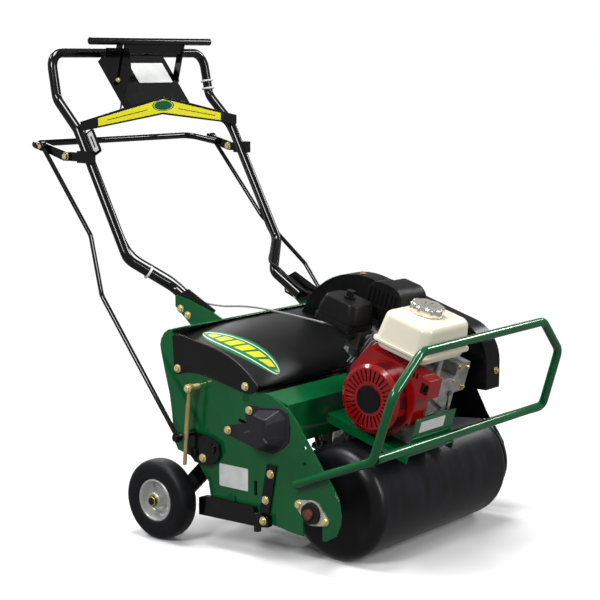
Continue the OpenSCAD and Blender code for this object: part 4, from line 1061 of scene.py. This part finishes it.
def add_cable(node, slot, route, radius, finish=None):
    """A sleeved control cable along its route, standing in for the CAD node, which is hidden."""
    points = smooth_route([at(*corner) for corner in route])
    data = bpy.data.curves.new(node + "_sleeve", "CURVE")
    data.dimensions = "3D"
    data.bevel_depth = radius * MM
    data.bevel_resolution = 4
    data.use_fill_caps = True
    spline = data.splines.new("POLY")
    spline.points.add(len(points) - 1)
    for knot, point in zip(spline.points, points):
        knot.co = (*point, 1)
    data.materials.append(FINISHES[finish or slot].material)
    sleeve = bpy.data.objects.new(node + "_sleeve", data)
    bpy.context.scene.collection.objects.link(sleeve)
    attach(sleeve, "frame")
    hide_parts(node)
    length = sum((b - a).length for a, b in zip(points, points[1:]))


# Cables from the console, along the handle's legs, to the belt guard and to the engine
CLUTCH_ROUTE = [
    (100, 866.5, 1113), (104, 873, 1090), (118, 866, 1060), (150, 856, 1042), (220, 846, 1032),
    (266, 840, 1018), (284, 826, 990), (285.6, 772, 890), (285.6, 716, 786), (283, 684, 724),
    (275, 656, 690), (238, 629, 660), (202, 604, 632), (201, 568, 614), (202, 490, 563),
    (197, 405, 549), (182, 350, 539), (146, 250, 513), (122, 230, 503), (110.2, 230, 503),
]
THROTTLE_ROUTE = [
    (-100, 866, 1113.6), (-104, 872, 1090), (-118, 866, 1060), (-150, 856, 1042), (-220, 846, 1032),
    (-266, 840, 1018), (-285, 826, 990), (-286.6, 772, 890), (-286.6, 716, 786), (-284, 684, 724),
    (-276, 656, 690), (-238, 629, 659), (-202, 604, 631), (-202, 568, 613), (-206, 500, 580),
    (-205, 430, 572), (-185, 315, 575), (-146, 104, 547), (-141, 66.3, 532.7), (-141, 52.8, 528.8),
]
CLUTCH_CABLE_R, THROTTLE_CABLE_R = 3.5, 2.5

# CAD nodes by the slot of their finish
DRESSED = {
    "green_paint": [
        "side_plate_right", "side_plate_left", "rear_panel", "cross_beam", "engine_tray", "front_guard",
        "guard_cross_tube", "handle_brackets",
    ],
    "black_paint": [
        "handle_tube", "console", "lift_brackets", "drive_bail", "lift_bail", "lift_rod_right",
        "lift_rod_left", "rock_shaft", "bell_crank_right", "bell_crank_left", "wheel_arm_right",
        "wheel_arm_left", "wing_plates", "tine_straps", "lower_rails",
    ],
    "cover_black": ["belt_guard"],
    "drum_paint": ["drum_shell"],
    "zinc": ["depth_rod_right", "depth_rod_left"],
    "steel": ["drum_shaft", "jack_shaft", "crankshaft", "tines", "drive_chain", "drum_sprocket"],
    "cast": ["drum_bearings"],
    "plastic_black": ["recoil_disc", "recoil_grip", "air_cleaner", "engine_switch", "choke_lever"],
    "yellow_band": ["chevron_band"],
    "belt": ["drive_belt"],
    "engine_alloy": ["crankcase", "cylinder", "carburettor", "driven_pulley", "tine_reel"],
    "red_paint": ["fan_cover"],
    "muffler_black": ["muffler", "muffler_shield"],
}
# Rounding of the sharp edges in millimetres, and the finishes that aren't the slot's own
ROUND_OVER = 0.8
ROUNDING = {
    "muffler": 7, "air_cleaner": 4, "fan_cover": 0.5, "crankcase": 1.0, "console": 0.5, "drive_bail": 0.5,
}
OWN_FINISH = {
    "drum_bearings": "bearing", "tine_reel": "reel", "jack_shaft": "cross_shaft",
    "carburettor": "dark_alloy", "drum_shaft": "rusty_end", "tines": "steel_darkened_as_shade",
    "drive_chain": "steel_darkened_as_shade", "drum_sprocket": "steel_darkened_as_shade",
}


# Surroundings

FLOOR_HALF, FADE_START, FADE_END = 5, 0.9, 2.3
BACKDROP_R = 25


def stage_object(name, bm, finish):
    """A piece of the surroundings, which isn't part of the machine."""
    mesh = to_mesh(name, bm)
    mesh.materials.append(finish.material)
    thing = bpy.data.objects.new(name, mesh)
    bpy.context.scene.collection.objects.link(thing)
    return thing


def add_floor():
    """A pale floor, and a white backdrop all round that gives no light of its own to the machine."""
    bm = bmesh.new()
    bmesh.ops.create_grid(bm, x_segments=1, y_segments=1, size=FLOOR_HALF)
    finish = Finish("pale_floor", Roughness=0.9, Specular_IOR_Level=0.1)
    x, y, _ = finish.axes()
    finish.give("Base Color", finish.mix(finish.noise(2, 3), (0.93, 0.93, 0.93, 1), (0.9, 0.9, 0.9, 1)))
    finish.give("Alpha", 1 - finish.spread((x * x + y * y).root(), FADE_START, FADE_END))
    floor = stage_object("floor", bm, finish)
    floor.visible_glossy = False
    floor.visible_diffuse = False
    bm = bmesh.new()
    bmesh.ops.create_uvsphere(bm, u_segments=48, v_segments=24, radius=BACKDROP_R)
    bmesh.ops.reverse_faces(bm, faces=bm.faces)
    white = Finish("backdrop_white", Emission_Strength=1.0)
    white.give("Base Color", (0, 0, 0, 1))
    white.give("Emission Color", white.mix(white.noise(0.2), (1, 1, 1, 1), (0.985, 0.985, 0.985, 1)))
    backdrop = stage_object("backdrop", bm, white)
    backdrop.visible_diffuse = False
    backdrop.visible_glossy = False
    backdrop.visible_shadow = False


add_camera()
add_cable("clutch_cable", "cable_black", CLUTCH_ROUTE, CLUTCH_CABLE_R)
add_cable("throttle_cable", "cable_grey", THROTTLE_ROUTE, THROTTLE_CABLE_R, "throttle_sleeve")
add_studio()
add_floor()
for slot, members in DRESSED.items():
    for member in members:
        dress(member, slot, ROUNDING.get(member, ROUND_OVER), OWN_FINISH.get(member))
add_hood()
add_wheel(-1, "right")
add_wheel(1, "left")
add_tank()
add_fuel_cap()
add_engine_fittings()
add_fan_slots()
add_lift_bolts()
add_lever_guide()
add_bolts()
add_shaft_covers()
add_starter_rope()
add_blank_plates()
add_ties()
